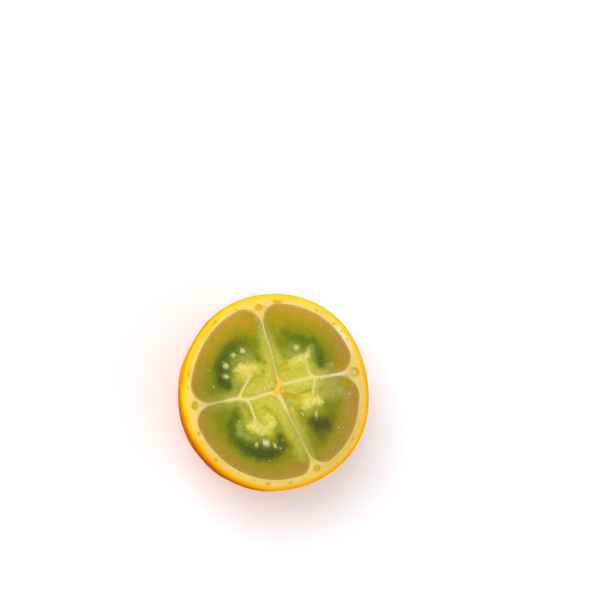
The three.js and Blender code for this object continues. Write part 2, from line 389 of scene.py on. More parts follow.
def skin_finish(piece):
    """Skin: orange, deeper towards the blossom end, yellower towards the cut, and browner low on the
    side towards X- and Y-, below the rim, where shade is painted. It has fine pale pores, a few dark
    specks and scuffs, and a corky ring round the scar, and shines a little more low down."""
    finish = Finish(
        "orange_skin", Coat_Roughness=0.3, IOR=1.38, Specular_IOR_Level=0.0,
        Subsurface_Weight=0.05, Subsurface_Radius=(1.0, 0.35, 0.08), Subsurface_Scale=1.0 * MM)
    broad = finish.noise(16.0, 2.0)
    cloudy = finish.noise(4.5, 3.0)
    fine = finish.noise(0.8, 3.0, 0.6)
    right = finish.part(finish.place, "X")
    far = finish.part(finish.place, "Y")
    height = finish.part(finish.place, "Z")
    upward = (height / FACE_HEIGHT + (broad - 0.5) * 1.6).between(-0.1, 1.1)
    orange = finish.mix(upward, "f87402", "ff9e06")
    orange = finish.mix(cloudy.between(0.35, 0.75) * 0.35, orange, "ffa80a")
    # Painted shade: a browner orange low on the side towards X- and Y-, from just below the rim, fading out
    # towards the foot
    painted_shade_side = (broad * 10 - right * 0.6 - far * 0.8).between(15, 34)
    below_rim = 1 - height.between(FACE_HEIGHT - 2.6, FACE_HEIGHT - 0.1)
    painted_shade_band = (height + (cloudy - 0.5) * 4).between(FACE_HEIGHT - 25, FACE_HEIGHT - 8)
    orange = finish.mix(painted_shade_side * below_rim * painted_shade_band * 0.9, orange, "be5204")
    orange = finish.mix(fine.between(0.55, 0.75) * 0.25, orange, "f06c00")
    pores = 1 - finish.cells(0.75).between(0.10, 0.24)
    pore_share = finish.noise(5.0).between(0.42, 0.62) * 0.4 + 0.12
    orange = finish.mix(pores * pore_share, orange, "ffc24a")
    drawn = finish.part(finish.cells(6.5, "Color"), "X") * MM
    speck = (1 - finish.cells(6.5).between(0.02, 0.05)) * drawn.between(0.72, 0.74)
    orange = finish.mix(speck * 0.8, orange, "7a3606")
    scuff = finish.noise(7.0, 5.0, 0.65).between(0.66, 0.74) * finish.noise(23.0).between(0.5, 0.6)
    orange = finish.mix(scuff * 0.5, orange, "c9722a")
    reach = finish.node(
        "ShaderNodeVectorMath", {"operation": "LENGTH"},
        {0: finish.node("ShaderNodeVectorMath", {"operation": "MULTIPLY"},
                        {0: finish.place, 1: (1, 1, 0)})},
        "Value") * (1 / MM)
    low = 1 - height.between(0.9, 1.6)
    cork = (1 - (reach + (fine - 0.5) * 1.2).between(1.7, 2.7)) * low
    orange = finish.mix(cork, orange, "8a5a26")
    depth = finish.kept("depth")
    on_cut = finish.kept("on_cut")
    colour = finish.mix(on_cut, orange, cut_skin(finish, depth, ripe_and_shade_side(finish)))
    below = 1 - height.between(FACE_HEIGHT - 18, FACE_HEIGHT - 8)
    finish.put((1 - on_cut) * (below * 0.2 + 0.04) + 0.01, finish.surface.inputs["Coat Weight"])
    finish.bump(finish.noise(1.1, 2.0) * 0.6 + fine * 0.2 - pores * 0.35 + 0.35, 0.035)
    finish.paint([piece], colour, 0.36 + (fine - 0.5) * 0.15 + cork * 0.35)


# on_cut is 0 on the side and 1 on the cut, and changes over the rim's rounding
rings = skin_rings()
below_cut = FACE_HEIGHT - rings[..., 2]
on_cut = np.clip((RIM_ROUNDING * 1.2 - below_cut) / (RIM_ROUNDING * 0.9), 0, 1)
skin = add_rings("skin", rings, {"depth": np.maximum(0, skin_depth(rings)), "on_cut": on_cut})
skin_finish(skin)


# --- The flesh ------------------------------------------------------------------------------
# The pale outer wall, the four septa and the core, all one firm tissue inside the skin. Four
# chambers are hollowed out of it, and the knife left it smooth and moist.

CORE = np.array([0.8, 0.9])
SEPTUM_THICKNESS = 0.8
FLESH_INSET = 0.95
POCKET_DEPTH = 3.4
EDGE_ROUNDING = 0.16
EDGE_DROP = 0.12
# The fine groove along the skin
GROOVE_DEPTH = 0.05
GROOVE_WIDTH = 0.10
# The outer end of a straight line from the core, and how far the septum's centreline lies to
# the left of it, as (share of the way out, mm)
SEPTA = {
    "right": ((24.3, 7.0), [(0, 0.9), (0.42, 0.9), (0.58, 0.2), (1, -0.2)]),
    "top": ((-5.1, 25.1), [(0, -0.15), (0.4, -0.1), (0.7, 0.55), (1, 0.5)]),
    "left": ((-25.6, -4.9), [(0, 0.85), (0.12, 0.85), (0.35, 1.45), (0.52, 0.45), (1, 0.6)]),
    "bottom": ((12.3, -22.5), [(0, -0.8), (0.3, -0.8), (0.6, -0.42), (1, -0.25)]),
}
# The septa on both sides, the wall's thickness, and the radii of the corners at the core, at
# the first septum's outer end and at the second's
CHAMBERS = {
    "top_right": ("right", "top", 2.9, (2.2, 5.8, 5.6)),
    "top_left": ("top", "left", 2.7, (2.4, 6.2, 6.6)),
    "bottom_left": ("left", "bottom", 3.0, (3.2, 5.6, 4.4)),
    "bottom_right": ("bottom", "right", 2.95, (1.8, 5.4, 7.0)),
}
# How far out the point lies that a chamber is drawn around
CHAMBER_MIDDLE = 14
# The share of a septum, at each end, over which its centreline comes back to the straight line
SEPTUM_FADE = 0.05
# How far a pocket's wall leans in, as a share of the way to its middle
POCKET_LEAN = 0.03
# Rings of a sector on the cut face, and the power by which they crowd to the pocket's edge
FACE_RINGS = 15
CROWDING = 1.6
SEPTUM_STEPS = 130
SKIN_STEPS = 8
WALL_STEPS = 120
UNDERSIDE_ROWS = 20
HALVINGS = 22
WELD_DISTANCE = 0.002


def septum_offset(septum, share):
    """How far a septum's centreline lies to the left of its straight line: from each of its
    offsets to the next it changes by 3t^2 - 2t^3 of their difference."""
    stops = SEPTA[septum][1]
    offset = np.full_like(share, stops[0][1])
    for (start, low), (end, high) in zip(stops, stops[1:]):
        t = np.clip((share - start) / (end - start), 0, 1)
        offset = offset + (high - low) * (3 - 2 * t) * t**2
    return offset


def left_of_septum(septum, points):
    """Distance to the left of a septum's centreline: the distance from its straight line, less
    the centreline's offset there."""
    line = np.array(SEPTA[septum][0]) - CORE
    length = np.hypot(*line)
    out = points[..., :2] - CORE
    across = (out[..., 1] * line[0] - out[..., 0] * line[1]) / length
    return across - septum_offset(septum, out @ line / length**2)


def rounded_corner(a, b, radius):
    """The smaller of two depths, with the corner between them rounded to a radius."""
    return np.where(
        (a < radius) & (b < radius), radius - np.hypot(radius - a, radius - b), np.minimum(a, b))


def depth_in_chamber(chamber, points):
    """How deep a point lies in a chamber: the least of its depths from both septa and from the
    outer wall, each pair with its corner rounded. It is below zero outside the chamber."""
    first, second, wall, (at_core, at_first, at_second) = CHAMBERS[chamber]
    from_first = left_of_septum(first, points) - SEPTUM_THICKNESS / 2
    from_second = -left_of_septum(second, points) - SEPTUM_THICKNESS / 2
    from_wall = skin_depth(points) - wall
    return np.minimum.reduce([
        rounded_corner(from_first, from_second, at_core),
        rounded_corner(from_first, from_wall, at_first),
        rounded_corner(from_second, from_wall, at_second),
    ])


def chamber_middle(chamber):
    """The point that a chamber is drawn around: half way between its septa's directions."""
    first, second = (SEPTA[name][0] for name in CHAMBERS[chamber][:2])
    start = math.atan2(first[1], first[0])
    turn = (math.atan2(second[1], second[0]) - start) % (2 * math.pi)
    angle = start + turn / 2
    return CHAMBER_MIDDLE * np.array([math.cos(angle), math.sin(angle)])


def septum_line(septum):
    """Points along a septum's centreline, from the core to the wall and on to the skin. The
    offset fades away at both ends, so that all four lines start at the core itself."""
    end = np.array(SEPTA[septum][0])
    line = end - CORE
    left = np.array([-line[1], line[0]]) / np.hypot(*line)
    share = np.linspace(0, 1, SEPTUM_STEPS)
    fade = np.minimum(1, np.minimum(share / SEPTUM_FADE, (1 - share) / SEPTUM_FADE))
    offset = septum_offset(septum, share) * fade
    line = CORE + line * share[:, None] + left * offset[:, None]
    angle = math.atan2(end[1], end[0])
    reach = face_radius(np.array([angle]))[0] - FLESH_INSET
    beyond = np.linspace(0, 1, SKIN_STEPS + 1)[1:, None]
    skin_end = reach * np.array([math.cos(angle), math.sin(angle)])
    return np.concatenate([line, end + (skin_end - end) * beyond])


def sector_edge(chamber):
    """The edge of a chamber's sector of the flesh, anticlockwise: out along its first septum,
    round inside the skin, and back in along its second septum. Neighbours share its points."""
    first, second = (septum_line(name) for name in CHAMBERS[chamber][:2])
    start = math.atan2(first[-1, 1], first[-1, 0])
    turn = (math.atan2(second[-1, 1], second[-1, 0]) - start) % (2 * math.pi)
    angle = start + turn * np.linspace(0, 1, WALL_STEPS)[1:-1]
    reach = face_radius(angle) - FLESH_INSET
    wall = np.stack([reach * np.cos(angle), reach * np.sin(angle)], axis=-1)
    return np.concatenate([first, wall, second[:0:-1]])


def chamber_outline(chamber, edge):
    """Where the line from a chamber's middle to each point of its sector's edge leaves the
    chamber: the stretch that holds the crossing is halved until it is too short to matter."""
    middle = chamber_middle(chamber)
    low = np.zeros(len(edge))
    high = np.ones(len(edge))
    for _ in range(HALVINGS):
        half = (low + high) / 2
        inside = depth_in_chamber(chamber, middle + (edge - middle) * half[:, None]) > 0
        low = np.where(inside, half, low)
        high = np.where(inside, high, half)
    return middle + (edge - middle) * low[:, None]


def with_height(points, height):
    """Points of the face with a height of their own."""
    return np.concatenate([points, np.broadcast_to(height, points.shape[:-1])[..., None]], axis=-1)


def flesh_top(points, outside):
    """Height of the flesh's cut face: the cut's, less a share of EDGE_DROP that rises with the
    square of the nearness to a pocket's edge, and less a bell-shaped groove along the skin."""
    edge = np.clip(1 - outside / EDGE_ROUNDING, 0, 1)
    groove = np.exp(-(((skin_depth(points) - SKIN_THICKNESS) / GROOVE_WIDTH) ** 2))
    return cut_height(with_height(points, 0.0)) - EDGE_DROP * edge**2 - GROOVE_DEPTH * groove


def flesh_sector(chamber):
    """A sector of the flesh as rings: from its edge in to the pocket's outline, closer together
    there, down the pocket's wall, which leans in by POCKET_LEAN, and over its floor to the
    middle."""
    edge = sector_edge(chamber)
    outline = chamber_outline(chamber, edge)
    middle = chamber_middle(chamber)
    rings = []
    for share in (1 - np.linspace(0, 1, FACE_RINGS)) ** CROWDING:
        ring = outline + (edge - outline) * share
        rings.append(with_height(ring, flesh_top(ring, -depth_in_chamber(chamber, ring))))
    top = rings[-1][:, 2]
    for share in (0.06, 0.2, 0.5, 1.0):
        ring = outline + (middle - outline) * POCKET_LEAN * share
        rings.append(with_height(ring, top - POCKET_DEPTH * share))
    for share in (0.3, 0.65, 0.97):
        ring = outline + (middle - outline) * share
        rings.append(with_height(ring, FACE_HEIGHT - POCKET_DEPTH))
    return np.array(rings)


def flesh_underside(wall):
    """The flesh's side, hidden by the skin: rings from its cut edge down to the blossom end."""
    side = side_ellipse(FLESH_INSET, UNDERSIDE_ROWS)[::-1]
    share = side[:, 0] / side[0, 0]
    reach = np.concatenate([share[1:], [0.01]])
    height = np.concatenate([side[1:, 1], [SCAR_DEPTH + FLESH_INSET]])
    rings = [wall]
    for part, level in zip(reach, height):
        rings.append(with_height(wall[:, :2] * part, level))
    return np.array(rings)


def ring_faces(count, around, first_point):
    """Quads between closed rings of points that are numbered on from first_point."""
    grid = first_point + np.arange(count * around).reshape(count, around)
    after = np.roll(grid, -1, axis=1)
    return np.stack([grid[:-1], after[:-1], after[1:], grid[1:]], axis=-1).reshape(-1, 4)


def make_flesh():
    """The flesh as one closed piece: four sectors and the underside, each closed at its last
    ring, and joined where they meet. The underside starts from the stretches of the sectors'
    edges that run round inside the skin."""
    sectors = [flesh_sector(chamber) for chamber in CHAMBERS]
    to_wall = SEPTUM_STEPS + SKIN_STEPS - 1
    wall = np.concatenate([sector[0, to_wall:-to_wall] for sector in sectors])
    points = []
    faces = []
    count = 0
    for rings in [*sectors, flesh_underside(wall)]:
        rows, around = rings.shape[:2]
        faces += ring_faces(rows, around, count).tolist()
        count += rows * around
        faces.append(list(range(count - around, count)))
        points.append(rings.reshape(-1, 3))
    mesh = bpy.data.meshes.new("flesh")
    mesh.from_pydata((np.concatenate(points) * MM).tolist(), [], faces)
    work = bmesh.new()
    work.from_mesh(mesh)
    bmesh.ops.remove_doubles(work, verts=work.verts, dist=WELD_DISTANCE * MM)
    bmesh.ops.recalc_face_normals(work, faces=work.faces)
    bmesh.ops.triangulate(work, faces=[face for face in work.faces if len(face.verts) > 4])
    work.to_mesh(mesh)
    work.free()
    return mesh


def keep_value(mesh, key, formula):
    """Work a number out at each point of a mesh and keep it there for the material."""
    points = np.empty(len(mesh.vertices) * 3)
    mesh.vertices.foreach_get("co", points)
    kept = mesh.attributes.new(key, "FLOAT", "POINT")
    kept.data.foreach_set("value", formula(points.reshape(-1, 3) / MM))


def outside_pockets(points):
    """Distance from the nearest chamber, on the face."""
    return -np.maximum.reduce([depth_in_chamber(chamber, points) for chamber in CHAMBERS])


def from_core(points):
    """Distance from the core, on the face."""
    return np.hypot(points[..., 0] - CORE[0], points[..., 1] - CORE[1])


# Routes on the face, each a list of (x, y, reach, strength): where the flesh is creamier than
# elsewhere, where it is golden, and where it has painted highlights and a wetter coat. A route's
# field is its strength on the route, and falls off as e to minus the square of the distance over the reach.
CREAM = [
    [(2.6, 1.9, 1.0, 0.7), (4.6, 2.9, 1.2, 1.0), (8.0, 3.9, 1.4, 1.0), (11.4, 4.6, 1.3, 1.0),
     (13.2, 4.8, 1.1, 0.75), (16.5, 5.0, 0.9, 0.5), (20.4, 5.9, 1.0, 0.4)],
    [(-1.6, -0.2, 1.0, 0.6), (-4.0, -1.2, 1.2, 0.8), (-7.4, -2.2, 1.3, 0.8), (-10.6, -2.5, 1.4, 1.0),
     (-12.6, -2.9, 1.3, 1.0), (-15.4, -3.3, 1.0, 0.5)],
    [(1.2, -1.4, 1.3, 0.9), (1.9, -3.2, 1.3, 1.0), (3.1, -5.6, 1.0, 0.5)],
    [(17.6, 19.8, 0.9, 0.7), (19.4, 17.9, 1.2, 0.9), (21.4, 15.6, 1.3, 0.9), (23.0, 12.6, 1.0, 0.6)],
    [(23.8, 6.4, 1.5, 0.9)],
    [(-4.5, 20.6, 0.7, 0.2), (-4.9, 22.0, 1.5, 0.6), (-5.2, 23.4, 1.9, 0.7)],
]
GILT = [
    [(-26.4, 3.0, 1.1, 0.7), (-26.2, 6.0, 1.1, 0.7), (-25.5, 9.0, 1.1, 0.55), (-24.0, 12.2, 1.1, 0.6)],
    [(-22.4, 14.8, 1.1, 0.6), (-20.2, 17.8, 1.0, 0.7), (-18.7, 19.5, 0.9, 0.9), (-17.6, 20.8, 0.6, 0.4)],
    [(-1.8, 26.6, 0.6, 0.5), (0.1, 26.3, 0.8, 0.8), (2.2, 26.4, 0.6, 0.5)], [(12.1, 24.1, 0.8, 0.7)],
    [(24.6, -5.0, 1.2, 0.6), (24.2, -8.6, 1.2, 0.6)], [(-4.2, 24.4, 1.3, 0.6), (-3.6, 22.4, 0.9, 0.35)],
    [(-4.2, 18.8, 0.5, 0.4), (-4.6, 20.6, 0.7, 0.45), (-5.0, 22.3, 1.4, 0.45), (-5.3, 23.6, 1.8, 0.6)],
]
WET_AND_GLINTS = [
    [(16.6, 5.3, 0.5, 0.6), (18.8, 5.7, 0.6, 0.8), (20.8, 6.1, 0.6, 0.7), (22.0, 6.8, 0.5, 0.5)],
    [(17.9, 19.7, 0.5, 0.5), (19.5, 18.0, 0.6, 0.6), (21.0, 16.2, 0.6, 0.65), (22.3, 14.2, 0.5, 0.5)],
]


def field(routes, points):
    """The greatest pull of some routes on each point: strength times e to the minus square of
    distance over reach, where both run evenly from one of a route's points to the next."""
    most = np.zeros(points.shape[:-1])
    for route in routes:
        stops = np.array(route)
        for start, end in zip(stops, stops[1:] if len(stops) > 1 else stops):
            along = end[:2] - start[:2]
            length = max(along @ along, 1e-9)
            share = np.clip((points[..., :2] - start[:2]) @ along / length, 0, 1)
            nearest = start[:2] + share[..., None] * along
            distance = np.linalg.norm(points[..., :2] - nearest, axis=-1)
            reach = start[2] + share * (end[2] - start[2])
            strength = start[3] + share * (end[3] - start[3])
            most = np.maximum(most, strength * np.exp(-((distance / reach) ** 2)))
    return most


def flesh_finish(piece):
    """Flesh: cream yellow, moist and a little see-through, yellow beside the skin and orange at
    the core. A septum is creamy where it is thick, and where it is thin only its middle is
    cream, with the pulp's green showing through its sides."""
    finish = Finish(
        "cut_flesh", IOR=1.42, Specular_IOR_Level=0.15, Coat_Roughness=0.16, Subsurface_Weight=0.12,
        Subsurface_Radius=(1.0, 0.7, 0.25), Subsurface_Scale=0.8 * MM)
    depth = finish.kept("depth")
    outside = finish.kept("outside")
    core = finish.kept("core")
    # Deeper and more orange low on the right: partly ripeness, partly painted shade
    ripe_and_shaded = ripe_and_shade_side(finish)
    fibres = finish.noise(0.5, 3.0, 0.6)
    cloudy = finish.noise(2.2, 2.0)
    wall = cut_skin(finish, depth, ripe_and_shaded)
    wall = finish.mix(cloudy.between(0.45, 0.7) * 0.35, wall, "f6cf58")
    wall = finish.mix(fibres.between(0.45, 0.75) * 0.35, wall, "fde59c")
    dots = (1 - finish.cells(0.9).between(0.08, 0.2)) * finish.noise(3.0).between(0.4, 0.6)
    wall = finish.mix(dots * 0.4 * depth.between(1.2, 1.6), wall, "eab23c")
    septum = finish.ramp(
        core / 26, (0.0, "fcc636"), (0.10, "f0ce4c"), (0.20, "d8c84c"), (0.36, "ccc05a"),
        (0.55, "c2b85c"), (0.80, "c6b85c"), (0.93, "e6cb72"))
    upper = (finish.part(finish.place, "Y") + (fibres - 0.5) * 4).between(6, 11)
    septum = finish.mix(upper * 0.7, septum, "dccb70")
    cream = finish.kept("cream")
    septum = finish.mix(cream.between(0.1, 0.8), septum, "f0d87c")
    septum = finish.mix(fibres.between(0.45, 0.75) * 0.25, septum, "f8e9a0")
    colour = finish.mix(depth.between(3.0, 4.6), wall, septum)
    middle = 1 - (core + (fibres - 0.5) * 1.2).between(1.0, 2.6)
    colour = finish.mix(middle * 0.8, colour, "fac83c")
    fleck = (1 - core.between(1.6, 3.0)) * finish.noise(0.7, 2.0).between(0.56, 0.66)
    colour = finish.mix(fleck * 0.5, colour, "f09a18")
    creamy_wall = cream.between(0.2, 0.9) * (1 - depth.between(3.4, 4.4))
    colour = finish.mix(creamy_wall * 0.7, colour, "f4e3b0")
    gilt = (finish.kept("gilt") + (fibres - 0.5) * 0.5).between(0.1, 0.9)
    colour = finish.mix(gilt * 0.65, colour, "f2b61c")
    inner = finish.kept("sunk").between(0.1, 0.5)
    colour = finish.mix(inner, colour, "c0a83c")
    thin = depth.between(4.5, 7.0) * (1 - cream.between(0.1, 0.5)) * core.between(3.0, 5.0)
    # Painted highlight: a paler line along each pocket's rounded edge
    lip_highlight = (1 - outside.between(0.0, 0.22)) * (1 - inner)
    colour = finish.mix(lip_highlight * (1 - thin) * 0.3, colour, "fdecac")
    colour = finish.mix((1 - outside.between(0.02, 0.28)) * thin * 0.6, colour, "b8b248")
    # Painted highlights: whitish glints along the right septum and the wall at the top right, where the coat
    # is wetter too
    wet = (finish.kept("wet") + (finish.noise(0.7, 3.0, 0.7) - 0.5) * 1.6).between(0.25, 1.0)
    colour = finish.mix(wet * 0.8, colour, "f1e8de")
    finish.put(wet * 0.4 + 0.12, finish.surface.inputs["Coat Weight"])
    finish.bump(fibres * 0.6 + finish.noise(0.18, 1.0) * 0.4, 0.035)
    finish.paint([piece], colour, 0.34 + (cloudy - 0.5) * 0.2)


flesh_mesh = make_flesh()
keep_value(flesh_mesh, "depth", skin_depth)
keep_value(flesh_mesh, "outside", outside_pockets)
keep_value(flesh_mesh, "core", from_core)
keep_value(flesh_mesh, "cream", lambda points: field(CREAM, points))
keep_value(flesh_mesh, "gilt", lambda points: field(GILT, points))
keep_value(flesh_mesh, "wet", lambda points: field(WET_AND_GLINTS, points))
keep_value(flesh_mesh, "sunk", lambda points: FACE_HEIGHT - points[:, 2])
flesh = place_piece("flesh", flesh_mesh)
flesh_finish(flesh)


# --- The pulp -------------------------------------------------------------------------------
# Wet jelly that fills the four chambers. It stands a little below the cut, creeps up the
# chamber's sides, and swells over the placenta, the soft pale lump that the seeds grow on.

# How far the pulp lies below the cut, how deep it goes, and how far it reaches into the wall
PULP_SINK = 0.42
PULP_DEPTH = 2.4
PULP_OVERLAP = 0.08
# How far it creeps up at a chamber's sides, and over what distance
CREEP = 0.24
CREEP_REACH = 0.45
# How much higher it stands over the placenta and where it is misty, and the lumps there
HEART_RISE = 0.26
HEART_LUMPS = 0.06
MIST_RISE = 0.12
MIST_LUMPS = 0.05
# How much higher it stands round a seed, how much lower where it is dark, and how far below
# the cut it stays where it rises to a stalk
SEED_RISE = 0.10
DARK_SINK = 0.16
STALK_SINK = 0.2
# Where the pulp's ridge round a seed is, in the seed's half widths, and how broad it is
SEED_RIDGE = 1.1
SEED_RIDGE_WIDTH = 0.35
# Rings of the pulp's top, the power by which they crowd to its edge, and rings below it
PULP_RINGS = 84
PULP_CROWDING = 0.85
BOWL_ROWS = 7

# The midline of each chamber's stalk, the web of firm tissue that carries its placenta
STALKS = {
    "top_right": [(11.2, 4.2), (10.4, 5.2), (9.7, 6.2), (9.2, 7.4), (8.9, 8.8), (8.2, 10.2),
                  (7.4, 10.8)],
    "top_left": [(-11.2, -2.5), (-10.8, -0.9), (-9.9, 0.8), (-9.1, 2.2), (-8.3, 3.6),
                 (-7.6, 5.2), (-7.4, 6.6)],
    "bottom_left": [(-9.2, -2.4), (-8.4, -3.5), (-7.6, -5.1), (-7.0, -6.7), (-6.3, -8.3),
                    (-5.4, -9.8), (-4.7, -11.0)],
    "bottom_right": [(11.7, 4.9), (11.5, 3.5), (11.4, 2.2), (11.2, 1.0), (11.0, -0.3),
                     (10.6, -1.6), (10.2, -3.0)],
}
# The seeds that show: (x, y, length, width, thickness, degrees turned, degrees tilted, lift of
# the seed's middle above the pulp, how gold)
SEEDS = {
    "top_right": [(6.0, 13.0, 3.2, 3.0, 0.7, 20, 6, -0.14, 0.5)],
    "top_left": [
        (-10.2, 11.5, 2.9, 2.2, 0.75, 100, 10, -0.12, 0.35),
        (-12.9, 10.2, 2.6, 2.2, 0.55, 40, 6, -0.16, 0.75),
        (-15.2, 7.0, 2.8, 2.2, 0.75, 100, 10, -0.12, 0.35),
        (-15.1, 3.9, 2.9, 1.8, 0.6, -12, 10, -0.10, 0.3),
    ],
    "bottom_left": [
        (-3.0, -14.9, 3.4, 3.0, 1.1, 120, 10, -0.14, 0.1),
        (-0.5, -15.6, 2.8, 1.4, 0.7, -55, 10, -0.08, 0.8),
        (-5.9, -15.3, 2.5, 1.4, 0.6, 75, 8, -0.12, 0.9),
    ],
    "bottom_right": [
        (12.2, -6.0, 3.3, 1.3, 0.8, 84, 8, -0.08, 0.95),
        (7.9, -6.3, 2.3, 1.3, 0.7, -52, 8, -0.12, 1.0),
    ],
}
# Routes, as in the flesh, of the jelly's tints. It is tan near the wall, dark where it is deep
# round the placenta, misty where fine tissue fills it and clear where none does. The heart is
# the placenta's crown. Pale jelly lies between it and the septa, with gold and yellow spots.
TAN = {
    "top_left": [[(-8.4, 18.4, 2.4, 0.5), (-6.4, 15.2, 2.3, 0.75), (-5.0, 12.5, 1.6, 0.4)]],
    "top_right": [[(16.5, 16.5, 2.4, 0.15), (20.0, 12.5, 3.0, 0.35), (21.0, 9.0, 2.6, 0.4)],
                  [(1.0, 19.0, 2.2, 0.6), (0.8, 15.6, 2.0, 0.7), (1.4, 12.0, 1.6, 0.5)]],
    "bottom_left": [[(-20.0, -9.0, 2.5, 0.2), (-16.5, -7.6, 2.2, 0.2)], [(5.0, -20.5, 2.6, 0.35)]],
    "bottom_right": [[(22.0, -1.0, 2.8, 0.6), (21.4, -5.6, 2.8, 0.5), (20.0, -9.6, 2.6, 0.35)]],
}
DARK = {
    "top_left": [[(-9.4, 13.9, 2.9, 0.55), (-12.0, 13.2, 3.1, 0.70), (-14.2, 11.3, 3.3, 0.80),
                  (-15.6, 8.6, 3.3, 0.86), (-16.4, 5.4, 3.5, 1.0), (-16.2, 2.8, 3.2, 1.0),
                  (-14.8, 1.4, 2.2, 0.95)],
                 [(-9.6, 13.7, 2.2, 0.5), (-7.0, 11.7, 1.5, 0.45), (-5.4, 9.2, 1.1, 0.5)],
                 [(-5.4, 9.2, 0.9, 0.5)], [(-4.1, 5.7, 0.8, 0.4)], [(-3.7, 8.3, 0.8, 0.35)]],
    "top_right": [[(2.2, 17.4, 2.5, 0.5), (4.7, 16.3, 2.6, 0.6), (8.1, 15.2, 2.6, 0.66),
                   (11.4, 14.6, 2.5, 0.62), (13.2, 12.3, 2.5, 0.7), (13.7, 9.7, 2.4, 0.82),
                   (13.6, 8.0, 1.8, 0.8)],
                  [(4.2, 16.2, 2.0, 0.55), (3.2, 13.8, 1.6, 0.5), (3.8, 12.2, 1.0, 0.3)],
                  [(8.2, 13.4, 1.2, 0.5)]],
    "bottom_left": [[(-11.9, -5.8, 1.7, 0.5), (-12.4, -7.2, 2.0, 0.66), (-13.9, -10.0, 2.5, 0.72),
                     (-13.0, -13.2, 2.5, 0.76), (-11.0, -15.4, 2.6, 0.84), (-8.5, -17.1, 2.7, 0.94),
                     (-5.3, -17.7, 2.9, 1.1), (-1.8, -17.8, 2.8, 1.1), (0.6, -16.8, 2.4, 1.0),
                     (1.8, -15.0, 2.0, 0.8)],
                    [(-7.0, -16.4, 1.8, 0.9), (-4.0, -16.6, 1.8, 0.9)],
                    [(1.8, -15.0, 2.0, 0.85), (1.2, -13.2, 1.9, 0.75)]],
    "bottom_right": [[(11.4, -8.6, 2.4, 0.95), (13.0, -9.4, 3.1, 1.15), (14.8, -9.2, 3.1, 1.0),
                      (17.0, -7.0, 2.6, 0.5)],
                     [(13.8, -9.6, 2.9, 1.0), (13.6, -12.6, 2.8, 0.6), (12.6, -15.0, 2.2, 0.3)],
                     [(15.2, -3.5, 1.6, 0.32), (18.0, -2.9, 1.6, 0.32), (20.2, -2.0, 1.3, 0.26)]],
}
MIST = {
    "top_left": [[(-6.8, 10.4, 1.0, 0.4), (-8.4, 10.0, 1.2, 0.6), (-11.0, 9.5, 1.4, 0.75),
                  (-13.2, 8.5, 1.2, 0.65), (-13.4, 6.6, 1.0, 0.55)], [(-14.6, 4.6, 1.0, 0.5)],
                 [(-12.6, 1.4, 1.1, 0.5), (-12.4, -0.4, 1.1, 0.5), (-14.6, -0.6, 0.9, 0.3)]],
    "top_right": [[(3.7, 11.6, 0.9, 0.55), (4.8, 10.9, 0.9, 0.55), (6.6, 11.0, 1.1, 0.55)],
                  [(10.7, 13.0, 1.3, 0.9), (10.2, 11.9, 1.4, 0.9), (9.9, 10.4, 1.4, 0.7)],
                  [(12.0, 7.4, 1.3, 0.55)],
                  [(15.4, 8.0, 1.1, 0.6), (16.7, 8.4, 1.1, 0.8), (16.6, 7.1, 0.9, 0.6)]],
    "bottom_left": [[(-10.9, -8.8, 1.2, 0.7), (-11.2, -10.6, 1.3, 0.85), (-10.7, -12.2, 1.3, 0.85),
                     (-9.2, -13.4, 1.2, 0.75), (-7.4, -13.8, 1.0, 0.6), (-5.6, -13.4, 0.8, 0.35)],
                    [(1.3, -16.3, 0.9, 0.6)], [(2.0, -14.0, 0.8, 0.5)]],
    "bottom_right": [[(9.0, -5.4, 1.1, 0.6), (10.4, -5.9, 1.1, 0.6)], [(13.6, -4.8, 1.2, 0.45)],
                     [(3.8, -3.1, 0.9, 0.7), (5.2, -4.1, 0.8, 0.5)]],
}
CLEAR = {
    "top_left": [],
    "top_right": [[(12.0, 6.6, 1.4, 0.6), (14.2, 6.6, 1.0, 0.3)]],
    "bottom_left": [[(3.4, -8.0, 1.4, 0.4), (5.6, -12.4, 1.7, 0.6), (7.8, -17.0, 1.7, 0.5)]],
    "bottom_right": [[(14.6, 2.2, 2.0, 0.65), (16.8, 2.4, 2.7, 0.95), (18.8, 1.4, 2.7, 1.0),
                      (20.6, -0.2, 2.2, 0.6)],
                     [(14.8, -0.4, 2.0, 0.6), (17.4, -0.8, 2.3, 0.75)]],
}
